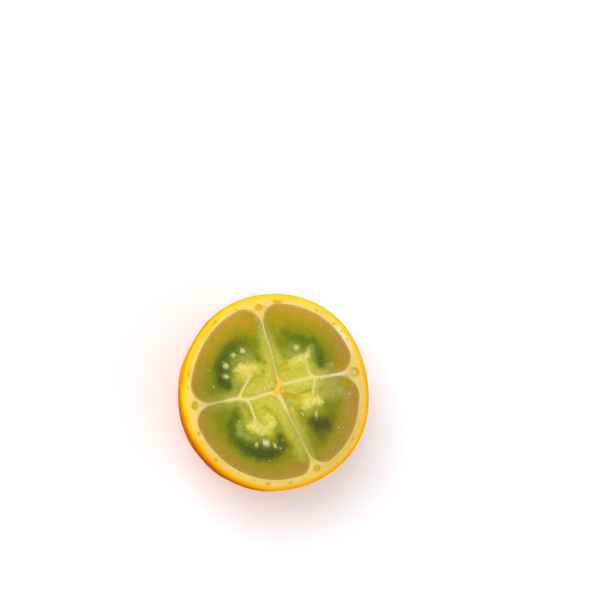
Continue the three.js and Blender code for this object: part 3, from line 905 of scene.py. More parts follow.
HEART = {
    "top_left": [[(-12.4, 5.9, 0.9, 0.55), (-10.6, 6.6, 1.4, 0.95), (-8.8, 6.2, 1.7, 1.1),
                  (-6.8, 6.6, 1.3, 0.9), (-5.8, 6.4, 0.9, 0.5)],
                 [(-8.8, 6.2, 1.5, 1.0), (-8.0, 4.0, 0.9, 0.7)],
                 [(-9.4, 7.0, 0.8, 0.7), (-9.0, 8.6, 0.6, 0.4)],
                 [(-11.0, 6.4, 0.8, 0.7), (-11.4, 7.8, 0.5, 0.4)],
                 [(-6.0, -0.6, 1.2, 0.42), (-3.6, 0.3, 1.4, 0.5), (-1.6, 1.6, 1.2, 0.45)]],
    "top_right": [[(4.8, 9.0, 1.0, 0.7), (6.4, 9.5, 1.3, 0.9), (8.2, 10.0, 1.3, 1.0), (8.8, 9.0, 0.9, 0.8)],
                  [(8.2, 10.0, 1.2, 0.95), (9.6, 10.9, 1.0, 0.75), (10.4, 12.2, 0.7, 0.45)],
                  [(6.4, 9.5, 1.0, 0.8), (6.2, 8.0, 0.9, 0.5)]],
    "bottom_left": [[(-8.6, -10.4, 0.9, 0.7), (-6.6, -10.6, 1.4, 1.0), (-4.6, -11.2, 1.6, 1.1),
                     (-2.7, -10.7, 1.2, 0.9), (-1.2, -9.7, 1.1, 0.85)],
                    [(-1.3, -9.9, 1.0, 0.8), (-1.0, -8.2, 0.9, 0.6), (-2.3, -7.6, 1.0, 0.7)],
                    [(-6.2, -10.2, 1.2, 0.9), (-6.6, -8.6, 0.9, 0.75)]],
    "bottom_right": [[(8.0, -4.8, 0.7, 0.6), (8.8, -3.4, 1.1, 0.85), (10.2, -2.2, 1.5, 1.1),
                      (12.0, -1.9, 1.3, 1.0), (13.6, -2.7, 1.0, 0.75)], [(9.6, -3.6, 1.1, 0.8)],
                     [(6.0, 1.9, 1.4, 0.36), (8.6, 2.6, 1.3, 0.36)],
                     [(11.8, 2.4, 1.2, 0.45), (11.8, 0.6, 1.2, 0.45)]],
}
PALE = {
    "top_left": [[(-12.4, 2.6, 2.0, 0.4), (-10.0, 4.4, 2.7, 0.9), (-7.6, 6.0, 3.2, 1.0),
                  (-5.2, 6.0, 2.4, 1.0)],
                 [(-9.0, -0.6, 2.0, 0.8), (-6.0, 1.8, 2.6, 1.0), (-2.6, 2.6, 2.6, 1.0),
                  (-2.2, 8.0, 2.0, 0.75), (-3.6, 13.0, 2.2, 0.62), (-4.8, 18.4, 1.9, 0.4)],
                 [(-12.0, -1.0, 1.4, 0.35), (-16.0, -2.2, 1.2, 0.25)]],
    "top_right": [[(2.2, 3.8, 2.4, 1.0), (3.2, 6.8, 2.8, 1.0), (6.6, 8.4, 2.8, 1.0), (9.6, 7.6, 2.2, 0.9)],
                  [(3.6, 4.4, 2.4, 1.0), (8.4, 5.2, 2.2, 0.95), (12.4, 6.4, 1.7, 0.7), (15.6, 6.4, 1.0, 0.5)],
                  [(1.0, 8.0, 1.8, 0.8), (-0.8, 12.5, 1.5, 0.5), (-2.4, 17.0, 1.3, 0.35)]],
    "bottom_left": [[(-6.6, -2.6, 2.2, 0.9), (-2.4, -2.0, 2.8, 1.0), (1.0, -5.0, 2.8, 1.0),
                     (3.2, -9.6, 2.2, 0.75), (6.0, -13.6, 2.3, 0.7), (7.0, -17.0, 2.6, 0.66),
                     (7.8, -19.4, 1.8, 0.45)],
                    [(-5.0, -5.0, 2.4, 0.95), (-2.4, -7.6, 2.8, 1.0), (-3.2, -10.6, 2.8, 1.0),
                     (-7.6, -10.0, 2.0, 0.8)],
                    [(-10.4, -4.0, 1.6, 0.4), (-9.0, -6.6, 1.4, 0.5), (-8.8, -9.4, 1.3, 0.55)],
                    [(-15.0, -4.8, 1.2, 0.3)]],
    "bottom_right": [[(3.2, 0.8, 2.2, 1.0), (6.8, 1.8, 2.4, 1.0), (9.6, 2.4, 2.2, 1.0)],
                     [(4.6, -2.4, 2.2, 0.85), (8.4, -2.8, 2.8, 1.0), (11.6, -1.8, 2.6, 1.0)],
                     [(12.6, 3.2, 2.0, 0.8), (15.4, 2.6, 2.2, 0.7), (18.0, 1.4, 1.8, 0.5),
                      (13.4, -0.6, 1.8, 0.6)],
                     [(4.4, -5.0, 1.7, 0.75), (6.8, -9.2, 1.6, 0.5), (9.4, -14.4, 1.6, 0.4),
                      (10.8, -18.0, 1.3, 0.3)]],
}
GOLD = {
    "top_left": [[(-6.6, 2.8, 0.5, 0.8), (-5.6, 2.4, 0.5, 0.8)], [(-4.2, 3.0, 0.5, 0.8)],
                 [(-3.6, 0.8, 0.4, 0.4)], [(-4.2, 6.2, 0.5, 0.6)]],
    "top_right": [[(1.3, 7.6, 0.9, 0.7), (2.8, 8.2, 1.1, 0.8), (3.4, 6.6, 1.0, 0.8), (2.3, 6.2, 0.8, 0.7)],
                  [(17.6, 7.9, 1.7, 0.8), (19.4, 7.8, 1.9, 0.95), (20.8, 8.2, 1.5, 0.8)]],
    "bottom_left": [[(-4.5, -5.0, 0.8, 0.85), (-3.4, -4.8, 0.9, 1.0), (-1.9, -5.1, 0.8, 0.9)],
                    [(0.2, -7.8, 0.8, 0.9)], [(-5.7, -10.0, 0.45, 0.9)], [(-3.4, -11.4, 0.35, 0.7)],
                    [(-8.4, -12.8, 0.7, 0.7)]],
    "bottom_right": [[(2.9, -0.9, 0.9, 0.9), (5.2, -1.2, 1.3, 1.0), (6.8, -1.2, 1.2, 0.9)],
                     [(6.3, -4.6, 0.7, 0.8), (6.1, -3.6, 0.6, 0.8)],
                     [(19.8, 3.8, 1.0, 0.95), (21.4, 3.1, 1.2, 1.0), (23.2, 2.3, 0.9, 0.9)],
                     [(2.8, 0.9, 0.5, 0.9)]],
}
YELLOW = {
    "top_left": [[(-8.7, 5.7, 0.7, 1.0)], [(-6.7, 7.8, 0.5, 0.8)], [(-6.0, 5.2, 0.6, 1.0)]],
    "top_right": [[(2.6, 7.6, 0.9, 0.6), (4.4, 8.0, 1.0, 0.8), (6.0, 8.4, 0.8, 0.7), (7.8, 8.2, 0.5, 0.7)]],
    "bottom_left": [[(-1.9, -9.0, 0.7, 1.0)], [(-2.4, -6.8, 0.8, 0.8), (-1.2, -7.6, 0.6, 0.7)]],
    "bottom_right": [[(6.6, -0.9, 0.8, 0.7), (8.2, -1.0, 1.1, 1.0), (9.6, -1.6, 0.8, 0.9)],
                     [(8.4, -2.2, 0.8, 0.8)], [(7.4, 0.5, 0.9, 0.6)]],
}


def wander(points, fine):
    """Points of the face, each pushed sideways by 0.15 mm ripples 3.4 mm long and by finer
    ones, fine mm high and 1.1 mm long. It makes the edge of a route's field uneven."""
    flat = with_height(points[..., :2], 0.0)
    push = [
        0.15 * ripple(flat, 3.4, seed) + fine * ripple(flat, 1.1, seed + 1)
        for seed in (14, 16)
    ]
    return points[..., :2] + np.stack(push, axis=-1)


def from_septa(chamber, points):
    """Distance to the nearer of a chamber's two septa."""
    first, second = CHAMBERS[chamber][:2]
    gap = np.minimum(left_of_septum(first, points), -left_of_septum(second, points))
    return np.maximum(0, gap - SEPTUM_THICKNESS / 2)


def around_seeds(chamber, points):
    """1 on a ridge just outside the edge of each seed that shows, and less by a bell curve on
    both sides of it. Distance is counted in the seed's own half length and half width."""
    most = np.zeros(points.shape[:-1])
    for x, y, length, width, _, turned, *_ in SEEDS[chamber]:
        turn = math.radians(turned)
        out = points[..., :2] - (x, y)
        along = (out[..., 0] * math.cos(turn) + out[..., 1] * math.sin(turn)) * 2 / length
        across = (out[..., 1] * math.cos(turn) - out[..., 0] * math.sin(turn)) * 2 / width
        from_ridge = (np.hypot(along, across) - SEED_RIDGE) / SEED_RIDGE_WIDTH
        most = np.maximum(most, np.exp(-(from_ridge**2)))
    return most


def pulp_height(chamber, points):
    """Height of the pulp: sunk below the cut, creeping up at the chamber's sides by a share
    that falls off as e to minus the distance over CREEP_REACH, raised and lumpy by its heart
    and mist fields, and lowered by its dark field. It rises round the seeds and to the stalk,
    and away from the chamber's sides it is uneven by three ripples."""
    depth = np.maximum(0, depth_in_chamber(chamber, points))
    flat = with_height(points, 0.0)
    heart = field(HEART[chamber], wander(points, 0.06))
    mist = field(MIST[chamber], wander(points, 0.04))
    dark = field(DARK[chamber], wander(points, 0.0))
    lumps = ripple(flat, 1.6, seed=11)
    height = FACE_HEIGHT - PULP_SINK + CREEP * np.exp(-depth / CREEP_REACH)
    height = height + heart * (HEART_RISE + HEART_LUMPS * lumps)
    height = height + mist * (MIST_RISE + MIST_LUMPS * lumps) - dark * DARK_SINK
    height = height + SEED_RISE * around_seeds(chamber, points)
    beside_stalk = field([[(*stop, 0.9, 1.0) for stop in STALKS[chamber]]], points)
    height = np.maximum(height, height + beside_stalk * (FACE_HEIGHT - STALK_SINK - height))
    away = np.clip(depth / 0.8, 0, 1)
    fine = 0.022 * ripple(flat, 1.7, seed=13) + 0.012 * ripple(flat, 0.8, seed=14)
    return height + away * (0.05 * ripple(flat, 4.5, seed=12) + fine)


def make_pulp(chamber):
    """One chamber's pulp: rings from its middle out to the chamber's outline and PULP_OVERLAP
    into the wall, closer together there, then back in underneath as a bowl, a quarter of an
    ellipse PULP_DEPTH deep. Its points keep the fields that its colours need."""
    middle = chamber_middle(chamber)
    outline = chamber_outline(chamber, sector_edge(chamber))
    reach = np.linalg.norm(outline - middle, axis=1, keepdims=True)
    outline = middle + (outline - middle) * (1 + PULP_OVERLAP / reach)
    shares = np.linspace(0, 1, PULP_RINGS + 1)[1:] ** PULP_CROWDING
    flat = middle + (outline - middle) * shares[:, None, None]
    top = with_height(flat, pulp_height(chamber, flat))
    under = []
    for angle in np.linspace(0, math.pi / 2, BOWL_ROWS + 2)[1:-1]:
        ring = middle + (outline - middle) * math.cos(angle)
        under.append(with_height(ring, top[-1, :, 2] - PULP_DEPTH * math.sin(angle)))
    rings = np.concatenate([top, np.array(under)])
    values = {
        "wall": np.maximum(0, skin_depth(rings) - CHAMBERS[chamber][2]),
        "edge": np.maximum(0, depth_in_chamber(chamber, rings[..., :2])),
        "septum": from_septa(chamber, rings),
        "stalk": field([[(*stop, 0.8, 1.0) for stop in STALKS[chamber]]], rings),
        "seed": around_seeds(chamber, rings),
        "cream": field(CREAM, rings),
        "core": from_core(rings),
    }
    fields = {
        "tan": (TAN, 0.0), "dark": (DARK, 0.0), "pale": (PALE, 0.04), "clear": (CLEAR, 0.0),
        "mist": (MIST, 0.04), "heart": (HEART, 0.06), "gold": (GOLD, 0.06), "yellow": (YELLOW, 0.1),
    }
    for key, (routes, fine) in fields.items():
        values[key] = field(routes[chamber], wander(rings, fine))
    return add_rings("pulp_" + chamber, rings, values)


def pulp_finish(pieces):
    """Pulp: tan at the wall, olive further in, dark green where the jelly is deep, pale towards
    the septa and the core, and cream over the placenta, all wet. Each tint is laid over the
    ones before it by its field, roughened by noise."""
    finish = Finish(
        "wet_pulp", IOR=1.38, Specular_IOR_Level=0.22, Coat_Roughness=0.06, Subsurface_Weight=0.1,
        Subsurface_Radius=(1.0, 0.9, 0.2), Subsurface_Scale=0.7 * MM)
    grain = finish.noise(0.4, 2.0, 0.6)
    cloudy = finish.noise(1.7, 3.0, 0.55)
    broad = finish.noise(5.5, 2.0)
    ragged = finish.noise(0.9, 3.0, 0.6)
    ripe_and_shaded = ripe_and_shade_side(finish)
    high = finish.part(finish.place, "Y") - finish.part(finish.place, "X").most(0) * 0.5
    high = (high + (broad - 0.5) * 10).between(2, 19)
    wall = finish.kept("wall") - finish.kept("tan") * 4.5
    wall = wall + (cloudy - 0.5) * 1.6 + (grain - 0.5) * 1.5
    bright = finish.ramp(
        wall / 12, (0.0, "c6993c"), (0.06, "ca9b30"), (0.18, "c49c1c"), (0.30, "b29c06"),
        (0.44, "a09704"), (0.60, "8c8f04"), (0.78, "848d08"), (1.0, "989c18"))
    dull = finish.ramp(
        wall / 12, (0.0, "b18c36"), (0.06, "b38e32"), (0.18, "a98c26"), (0.30, "9c8e16"),
        (0.44, "8c870e"), (0.60, "80850e"), (0.78, "7e8810"), (1.0, "989c20"))
    colour = finish.mix(high, dull, bright)
    colour = finish.mix((broad - 0.5).between(0.0, 0.2) * 0.3, colour, "a08c18")
    beside = 1 - (finish.kept("septum") + (cloudy - 0.5) * 1.2).between(0.0, 3.2)
    inward = finish.kept("wall").between(1.0, 6.0)
    colour = finish.mix(beside * inward * 0.5, colour, "b2b150")
    pale = (finish.kept("pale") + (cloudy - 0.5) * 0.3 + (grain - 0.5) * 0.2).between(0.1, 0.95)
    straw = finish.mix(ragged.between(0.3, 0.7), "cac236", "d8cf4a")
    colour = finish.mix(pale * 0.95, colour, straw)
    dark = finish.kept("dark") + (cloudy - 0.5) * 0.1 + (grain - 0.5) * 0.12
    green = finish.ramp(
        dark, (0.0, "8c930a"), (0.35, "7c8704"), (0.65, "62720a"), (0.95, "4b5916"),
        (1.0, "48531a"))
    brown = finish.ramp(
        dark, (0.0, "8a820e"), (0.35, "7c760e"), (0.65, "686412"), (0.95, "4f5414"),
        (1.0, "485018"))
    low_right = (finish.part(finish.place, "X") - finish.part(finish.place, "Y")) * 0.7
    green = finish.mix(low_right.between(6, 17), green, brown)
    colour = finish.mix(dark.between(0.08, 0.72), colour, green)
    clear = finish.kept("clear") + (cloudy - 0.5) * 0.15 + (grain - 0.5) * 0.15
    fawn = finish.mix(cloudy.between(0.3, 0.7), "a59e3c", "b2aa50")
    colour = finish.mix(clear.between(0.05, 0.95) * 0.9, colour, fawn)
    mist = (finish.kept("mist") + (grain - 0.5) * 0.5 + (ragged - 0.5) * 0.25).between(0.15, 1.0)
    sage = finish.mix(grain.between(0.42, 0.62), "90a03c", "b0ba66")
    colour = finish.mix(mist * 0.68, colour, sage)
    heart = (finish.kept("heart") + (grain - 0.5) * 0.3 + (ragged - 0.5) * 0.3).between(0.1, 0.95)
    butter = finish.mix(ragged.between(0.34, 0.62), "e2d24a", "f2e078")
    colour = finish.mix(heart * 0.92, colour, butter)
    gold = (finish.kept("gold") + (cloudy - 0.5) * 0.3 + (grain - 0.5) * 0.2).between(0.2, 0.9)
    amber = finish.mix(finish.part(finish.place, "X").between(12, 16), "d8b80c", "b48c00")
    amber = finish.mix(grain.between(0.35, 0.65), "b49a06", amber)
    colour = finish.mix(gold * 0.8, colour, amber)
    yellow = (finish.kept("yellow") + (grain - 0.5) * 0.8).between(0.4, 0.9)
    lemon = finish.mix(grain.between(0.45, 0.6), "e6d408", "f0d440")
    colour = finish.mix(yellow * 0.8, colour, lemon)
    colour = finish.mix(finish.kept("stalk").between(0.2, 0.9) * 0.6, colour, "d6cd66")
    vesicles = finish.cells(0.62)
    tiny = finish.noise(0.2, 2.0, 0.6)
    colour = finish.mix(vesicles.between(0.45, 0.8) * 0.12, colour, "5a5c00")
    glint = (1 - vesicles.between(0.08, 0.4)) * tiny.between(0.4, 0.6)
    colour = finish.mix(glint * 0.16, colour, "e6de78")
    colour = finish.mix(finish.kept("seed").between(0.1, 0.9) * 0.3, colour, "7f8a30")
    # The tan at the chamber's edge is lighter at the top and darker low on the right: partly ripeness, partly
    # painted shade
    rim = 1 - (finish.kept("edge") + (grain - 0.5) * 0.3).between(0.05, 0.75)
    colour = finish.mix(rim * 0.7 * (1 - inward), colour, finish.mix(ripe_and_shaded, "ddb458", "bd9e46"))
    cream = finish.kept("cream").between(0.1, 0.7)
    colour = finish.mix(
        rim * inward * (cream * 0.55 + 0.15), colour, finish.mix(cream, "c2bc54", "e8d66c"))
    near_core = 1 - (finish.kept("core") + (grain - 0.5) * 0.8).between(1.0, 2.0)
    colour = finish.mix(near_core * 0.8, colour, "eec63c")
    wet = finish.kept("mist").between(0.2, 0.8).most(heart)
    finish.put(wet * 0.35 + 0.05, finish.surface.inputs["Coat Weight"])
    finish.bump(ragged * 0.6 + grain * 0.35 - vesicles * 0.2 + 0.1, 0.08)
    finish.paint(pieces, colour, 0.22 + (grain - 0.5) * 0.2)


pulps = [make_pulp(chamber) for chamber in CHAMBERS]
pulp_finish(pulps)


# --- The stalks -----------------------------------------------------------------------------
# Thin webs of firm tissue that grow out of a septum and carry each placenta. The knife cut
# them through, so each shows as a fine pale line that flares at both ends.

STALK_HALF_WIDTH = 0.4
# How much wider a stalk gets at the septum and at the placenta, and how far each flare reaches
ROOT_FLARE = 0.8
ROOT_FLARE_REACH = 0.85
PLACENTA_FLARE = 0.35
PLACENTA_FLARE_REACH = 1.5
# How long the rounded ends are, in the septum and in the placenta
STALK_ROOT = 0.3
STALK_TIP = 0.8
# Half of its height, how far it stands over the pulp, the furthest that it lies below the cut
# on its way, and how far its end sinks, over what distance
STALK_HALF_DEPTH = 0.5
STALK_RISE = 0.13
STALK_LOWEST = 0.08
STALK_DIP = 0.55
STALK_DIP_REACH = 1.6
STALK_STEPS = 90
STALK_SIDES = 24


def smooth_route(stops, steps):
    """Evenly many points on a smooth curve through stops: between two stops, the cubic whose
    slope at each is half the way from the stop before it to the stop after it."""
    stops = np.array(stops, dtype=float)
    padded = np.concatenate([2 * stops[:1] - stops[1:2], stops, 2 * stops[-1:] - stops[-2:-1]])
    place = np.linspace(0, len(stops) - 1, steps)
    first = np.minimum(place.astype(int), len(stops) - 2)
    t = (place - first)[:, None]
    a, b, c, d = (padded[first + i] for i in range(4))
    return 0.5 * (2 * b + (c - a) * t + (2 * a - 5 * b + 4 * c - d) * t**2
                  + (3 * b - a - 3 * c + d) * t**3)


def make_stalk(chamber):
    """A stalk: an upright oval carried along its route. Its half width is least in the middle,
    greater by a bell curve where it leaves the septum, and greater again where it runs out
    into the placenta, by a share that falls off as e to minus the distance over the flare's
    reach. It sinks there by a like share. Both ends are rounded by a square root."""
    line = smooth_route(STALKS[chamber], STALK_STEPS)
    ahead = np.gradient(line, axis=0)
    ahead /= np.linalg.norm(ahead, axis=1, keepdims=True)
    side = np.stack([-ahead[:, 1], ahead[:, 0]], axis=-1)
    travelled = np.concatenate([[0], np.cumsum(np.linalg.norm(np.diff(line, axis=0), axis=1))])
    left = travelled[-1] - travelled
    half_width = STALK_HALF_WIDTH + ROOT_FLARE * np.exp(-((travelled / ROOT_FLARE_REACH) ** 2))
    half_width = half_width + PLACENTA_FLARE * np.exp(-left / PLACENTA_FLARE_REACH)
    rounded = np.clip(left / STALK_TIP, 0.04, 1) * np.clip(travelled / STALK_ROOT, 0.04, 1)
    half_width = half_width * np.sqrt(rounded)
    crown = np.maximum(pulp_height(chamber, line) + STALK_RISE, FACE_HEIGHT - STALK_LOWEST)
    crown = crown - STALK_DIP * np.exp(-left / STALK_DIP_REACH)
    angle = np.arange(STALK_SIDES) * 2 * math.pi / STALK_SIDES
    across = half_width[:, None] * np.cos(angle)
    flat = line[:, None] + side[:, None] * across[..., None]
    height = crown[:, None] + STALK_HALF_DEPTH * (np.sin(angle) - 1)
    rings = with_height(flat, 0.0)
    rings[..., 2] = height + 0.02 * ripple(rings, 1.2, seed=21)
    values = {
        "along": np.broadcast_to((travelled / travelled[-1])[:, None], across.shape),
        "across": np.broadcast_to(np.abs(np.cos(angle)), across.shape),
    }
    return add_rings("stalk_" + chamber, rings, values)


def stalk_finish(pieces):
    """Stalk: the flesh's cream yellow at the septum, yellower towards the placenta, mottled
    with pale cream and greener down its sides."""
    finish = Finish(
        "stalk_web", IOR=1.4, Specular_IOR_Level=0.2, Coat_Weight=0.15, Coat_Roughness=0.1,
        Subsurface_Weight=0.15, Subsurface_Radius=(1.0, 0.9, 0.3), Subsurface_Scale=0.6 * MM)
    along = finish.kept("along")
    grain = finish.noise(0.4, 3.0, 0.6)
    colour = finish.ramp(along, (0.0, "ecda86"), (0.3, "e6d87c"), (0.7, "e2d670"), (1.0, "e4d66c"))
    colour = finish.mix(grain.between(0.45, 0.7) * 0.3, colour, "f0e6a0")
    colour = finish.mix(finish.kept("across").between(0.6, 1.0) * 0.6, colour, "c2bd4a")
    finish.bump(grain, 0.03)
    finish.paint(pieces, colour, 0.3 + (grain - 0.5) * 0.2)


stalks = [make_stalk(chamber) for chamber in CHAMBERS]
stalk_finish(stalks)


# --- The seeds ------------------------------------------------------------------------------
# Small flat seeds that grow on the placentas. Most lie deep in the jelly; these stand out of
# it, each lens-shaped, wet and pale, at its own turn and tilt.

# How much a seed narrows towards one end, as a share of its width
SEED_TAPER = 0.18
SEED_RINGS = 16
SEED_SIDES = 28


def make_seed(name, chamber, seed):
    """A seed: a lens whose half width narrows by a cosine towards the end that grew on the
    placenta, a little lumpy, then tilted about its width, turned, and set at the pulp's
    height."""
    x, y, length, width, thickness, turned, tilted, lift, gold = seed
    down = np.linspace(0, math.pi, SEED_RINGS + 2)[1:-1, None]
    round_about = np.arange(SEED_SIDES) * 2 * math.pi / SEED_SIDES
    shape = np.stack(np.broadcast_arrays(
        length / 2 * np.sin(down) * np.cos(round_about),
        width / 2 * np.sin(down) * np.sin(round_about) * (1 - SEED_TAPER * np.cos(round_about)),
        thickness / 2 * np.cos(down),
    ), axis=-1)
    shape = shape * (1 + 0.03 * ripple(shape + x, 1.2, seed=31))[..., None]
    tilt = math.radians(tilted)
    turn = math.radians(turned)
    lean = np.array([
        (math.cos(tilt), 0, -math.sin(tilt)),
        (0, 1, 0),
        (math.sin(tilt), 0, math.cos(tilt)),
    ])
    swing = np.array([
        (math.cos(turn), math.sin(turn), 0),
        (-math.sin(turn), math.cos(turn), 0),
        (0, 0, 1),
    ])
    level = pulp_height(chamber, np.array([[x, y]]))[0] + lift
    rings = shape @ lean @ swing + (x, y, level)
    rim = np.broadcast_to(np.sin(down), rings.shape[:2])
    return add_rings(name, rings, {"rim": rim, "gold": np.full(rings.shape[:2], gold)})


def seed_finish(pieces):
    """Seed: pale straw or gold, whiter on its crown and olive round its rim, where it meets the pulp:
    partly jelly that clings, partly painted shade.
    """
    finish = Finish(
        "wet_seed", IOR=1.45, Coat_Weight=0.6, Coat_Roughness=0.06, Subsurface_Weight=0.3,
        Subsurface_Radius=(1.0, 0.9, 0.4), Subsurface_Scale=0.5 * MM)
    grain = finish.noise(0.35, 3.0, 0.6)
    # Olive round the rim: partly jelly that clings, partly painted shade where the seed meets the pulp
    rim = finish.kept("rim") + (grain - 0.5) * 0.3
    pale = finish.ramp(rim, (0.0, "ebe7bc"), (0.30, "cfce82"), (0.58, "a0a63c"), (0.9, "6a7a14"))
    deep = finish.ramp(rim, (0.0, "dcd468"), (0.3, "c6ba34"), (0.58, "a8a418"), (0.9, "6c7408"))
    colour = finish.mix(finish.kept("gold"), pale, deep)
    colour = finish.mix(grain.between(0.55, 0.75) * 0.4, colour, "c0b640")
    finish.bump(grain, 0.04)
    finish.paint(pieces, colour, 0.22 + (grain - 0.5) * 0.15)


seeds = []
for chamber, places in SEEDS.items():
    for number, place in enumerate(places, 1):
        seeds.append(make_seed(f"seed_{chamber}_{number}", chamber, place))
seed_finish(seeds)


# --- The strands ----------------------------------------------------------------------------
# The veins of the outer wall, cut across: a large one outside each septum and many small ones
# between. Each is a soft dot, darker yellow than the wall, that stands up very slightly.

# (x, y, half length along the wall, half width, how far it stands up)
STRANDS = [
    (-5.6, 24.4, 1.3, 1.2, STRAND_RISE), (23.8, 6.3, 1.9, 1.5, STRAND_RISE),
    (12.1, -22.0, 1.3, 1.2, STRAND_RISE), (-24.7, -4.8, 1.55, 1.25, STRAND_RISE),
    (0.1, 26.2, 1.7, 0.55, 0.04), (17.5, 20.4, 0.6, 0.5, 0.04),
    (19.8, 18.3, 0.4, 0.32, 0.03), (21.6, 15.9, 0.42, 0.34, 0.03),
    (-23.4, -12.7, 0.75, 0.5, 0.05), (-18.2, -20.1, 0.7, 0.6, 0.05),
    (-2.6, -26.7, 0.75, 0.55, 0.05), (4.1, -26.3, 0.65, 0.42, 0.04),
    (23.1, -13.5, 0.55, 0.45, 0.04), (-26.5, 4.3, 0.85, 0.32, 0.04),
    (-26.7, 0.1, 0.4, 0.34, 0.03), (-18.7, 19.6, 0.7, 0.45, 0.04),
    (-12.5, 23.3, 0.42, 0.36, 0.03), (12.1, 24.2, 0.55, 0.32, 0.03),
    (18.4, -20.2, 0.5, 0.36, 0.03), (-22.6, -15.2, 0.35, 0.3, 0.02),
]
STRAND_SIDES = 36
STRAND_ROWS = 11
STRAND_DEPTH = 0.4


def strand_rings(strand):
    """A strand's end: an oval dome over the cut. Its rise is half a sine's bulge and half a
    parabola, so it is lower in the middle and highest half way out. Its rim dips just under
    the cut, and the piece is closed STRAND_DEPTH below that. The oval lies along the wall and
    is a little irregular."""
    x, y, along, across, rise = strand
    out = np.array([x, y]) / math.hypot(x, y)
    tangent = np.array([-out[1], out[0]])
    angle = np.arange(STRAND_SIDES) * 2 * math.pi / STRAND_SIDES
    shares = np.linspace(0, 1, STRAND_ROWS + 1)[1:]
    unit = np.cos(angle)[:, None] * tangent * along + np.sin(angle)[:, None] * out * across
    circle = np.stack([np.cos(angle), np.sin(angle), np.full(STRAND_SIDES, x)], axis=-1)
    uneven = 1 + 0.07 * ripple(circle, 2.0, seed=41)
    flat = np.array([x, y]) + unit * uneven[:, None] * shares[:, None, None]
    dome = rise * (np.sin(math.pi * shares**1.2) * 0.5 + 0.5 * (1 - shares**2)) - 0.03 * shares**4
    height = cut_height(with_height(flat, 0.0)) + dome[:, None]
    rings = with_height(flat, height)
    below = rings[-1:].copy()
    below[..., 2] -= STRAND_DEPTH
    return np.concatenate([rings, below]), np.concatenate([shares, [1.0]])


def strand_finish(pieces):
    """Strand: gold, darkest half way out, and fading into the wall's cream, more olive towards
    the bottom of the face and more amber towards its top. The large one at the right is hollow:
    pale in its middle, with a ring that is faint at its left and strong at its right."""
    finish = Finish(
        "vein_strand", IOR=1.42, Specular_IOR_Level=0.2, Coat_Weight=0.15, Coat_Roughness=0.14,
        Subsurface_Weight=0.15, Subsurface_Radius=(1.0, 0.7, 0.2), Subsurface_Scale=0.6 * MM)
    grain = finish.noise(0.4, 3.0, 0.6)
    share = finish.kept("share") + (grain - 0.5) * 0.25
    olive = finish.ramp(
        share, (0.0, "d2ba2a"), (0.35, "cdb31c"), (0.66, "caae10"), (0.84, "dcbd40"),
        (1.0, "efd27a"))
    amber = finish.ramp(
        share, (0.0, "e4c440"), (0.30, "e8ba2a"), (0.60, "ecac12"), (0.84, "f2be32"),
        (1.0, "f9da72"))
    faint = finish.ramp(
        share, (0.0, "dccb92"), (0.26, "dac57c"), (0.52, "d2b550"), (0.80, "d8bc58"),
        (1.0, "e8cc72"))
    strong = finish.ramp(
        share, (0.0, "dccb92"), (0.26, "dcc068"), (0.52, "cba91c"), (0.80, "cdac1e"),
        (1.0, "ecce68"))
    right = finish.part(finish.place, "X")
    far = finish.part(finish.place, "Y")
    facing = right + far * 0.7 + (grain - 0.5) * 1.2
    hollow = finish.mix(facing.between(27.4, 29.4), faint, strong)
    upper = (far + (finish.noise(8.0) - 0.5) * 10).between(2, 20)
    colour = finish.mix(upper, olive, amber)
    right_strand = right.between(22.2, 22.6) * far.between(4.0, 4.4) * (1 - far.between(8.4, 8.8))
    colour = finish.mix(right_strand, colour, hollow)
    finish.bump(grain, 0.03)
    finish.paint(pieces, colour, 0.32 + (grain - 0.5) * 0.2)


strands = []
for number, strand in enumerate(STRANDS, 1):
    rings, shares = strand_rings(strand)
    share_values = np.broadcast_to(shares[:, None], rings.shape[:2])
    strands.append(add_rings(f"strand_{number}", rings, {"share": share_values}))
strand_finish(strands)


# --- The style's stub -----------------------------------------------------------------------
# The dry end of the flower's style, left in the small scar at the blossom end. It is a short
# corky stub, which ends above the foot so that the half rests on its skin.

STUB_RADIUS = 0.8
STUB_TIP_RADIUS = 0.5
STUB_SINK = 0.2
STUB_SIDES = 48


def make_stub():
    """The stub: a short cone from its rounded tip, STUB_SINK above the foot, up to the scar's
    floor and a little way in, its sides ridged by seven waves a turn and roughened."""
    profile = np.array([
        (0.05, STUB_SINK), (STUB_TIP_RADIUS * 0.6, STUB_SINK + 0.01),
        (STUB_TIP_RADIUS, STUB_SINK + 0.05), (0.62, 0.32), (0.7, 0.42),
        (STUB_RADIUS, SCAR_DEPTH), (0.86, SCAR_DEPTH + 0.1), (0.1, SCAR_DEPTH + 0.2),
    ])
    rings = turn_profile(profile, STUB_SIDES)
    angle = np.arctan2(rings[..., 1], rings[..., 0])
    rough = 1 + 0.07 * np.cos(7 * angle) + 0.05 * ripple(rings, 0.5, seed=51)
    rings[..., :2] *= rough[..., None]
    return add_rings("style_stub", rings)


def stub_finish(piece):
    """Stub: dry brown cork, darker in its cracks."""
    finish = Finish("dry_cork", IOR=1.4)
    grain = finish.noise(0.15, 4.0, 0.65)
    colour = finish.ramp(grain, (0.3, "4a2a12"), (0.5, "7a4c22"), (0.7, "a87c48"))
    finish.bump(grain, 0.06)
    finish.paint([piece], colour, 0.75 + (grain - 0.5) * 0.3)


stub = make_stub()
stub_finish(stub)


# --- The juice ------------------------------------------------------------------------------
# Small beads of juice and cut pulp that the knife left on the wet jelly. Each is a low drop, and
# several of the largest lie where the pulp meets the wall. Their pale colour is partly a painted
# highlight: some sit at the upper left of seeds, where they stand in for glints.

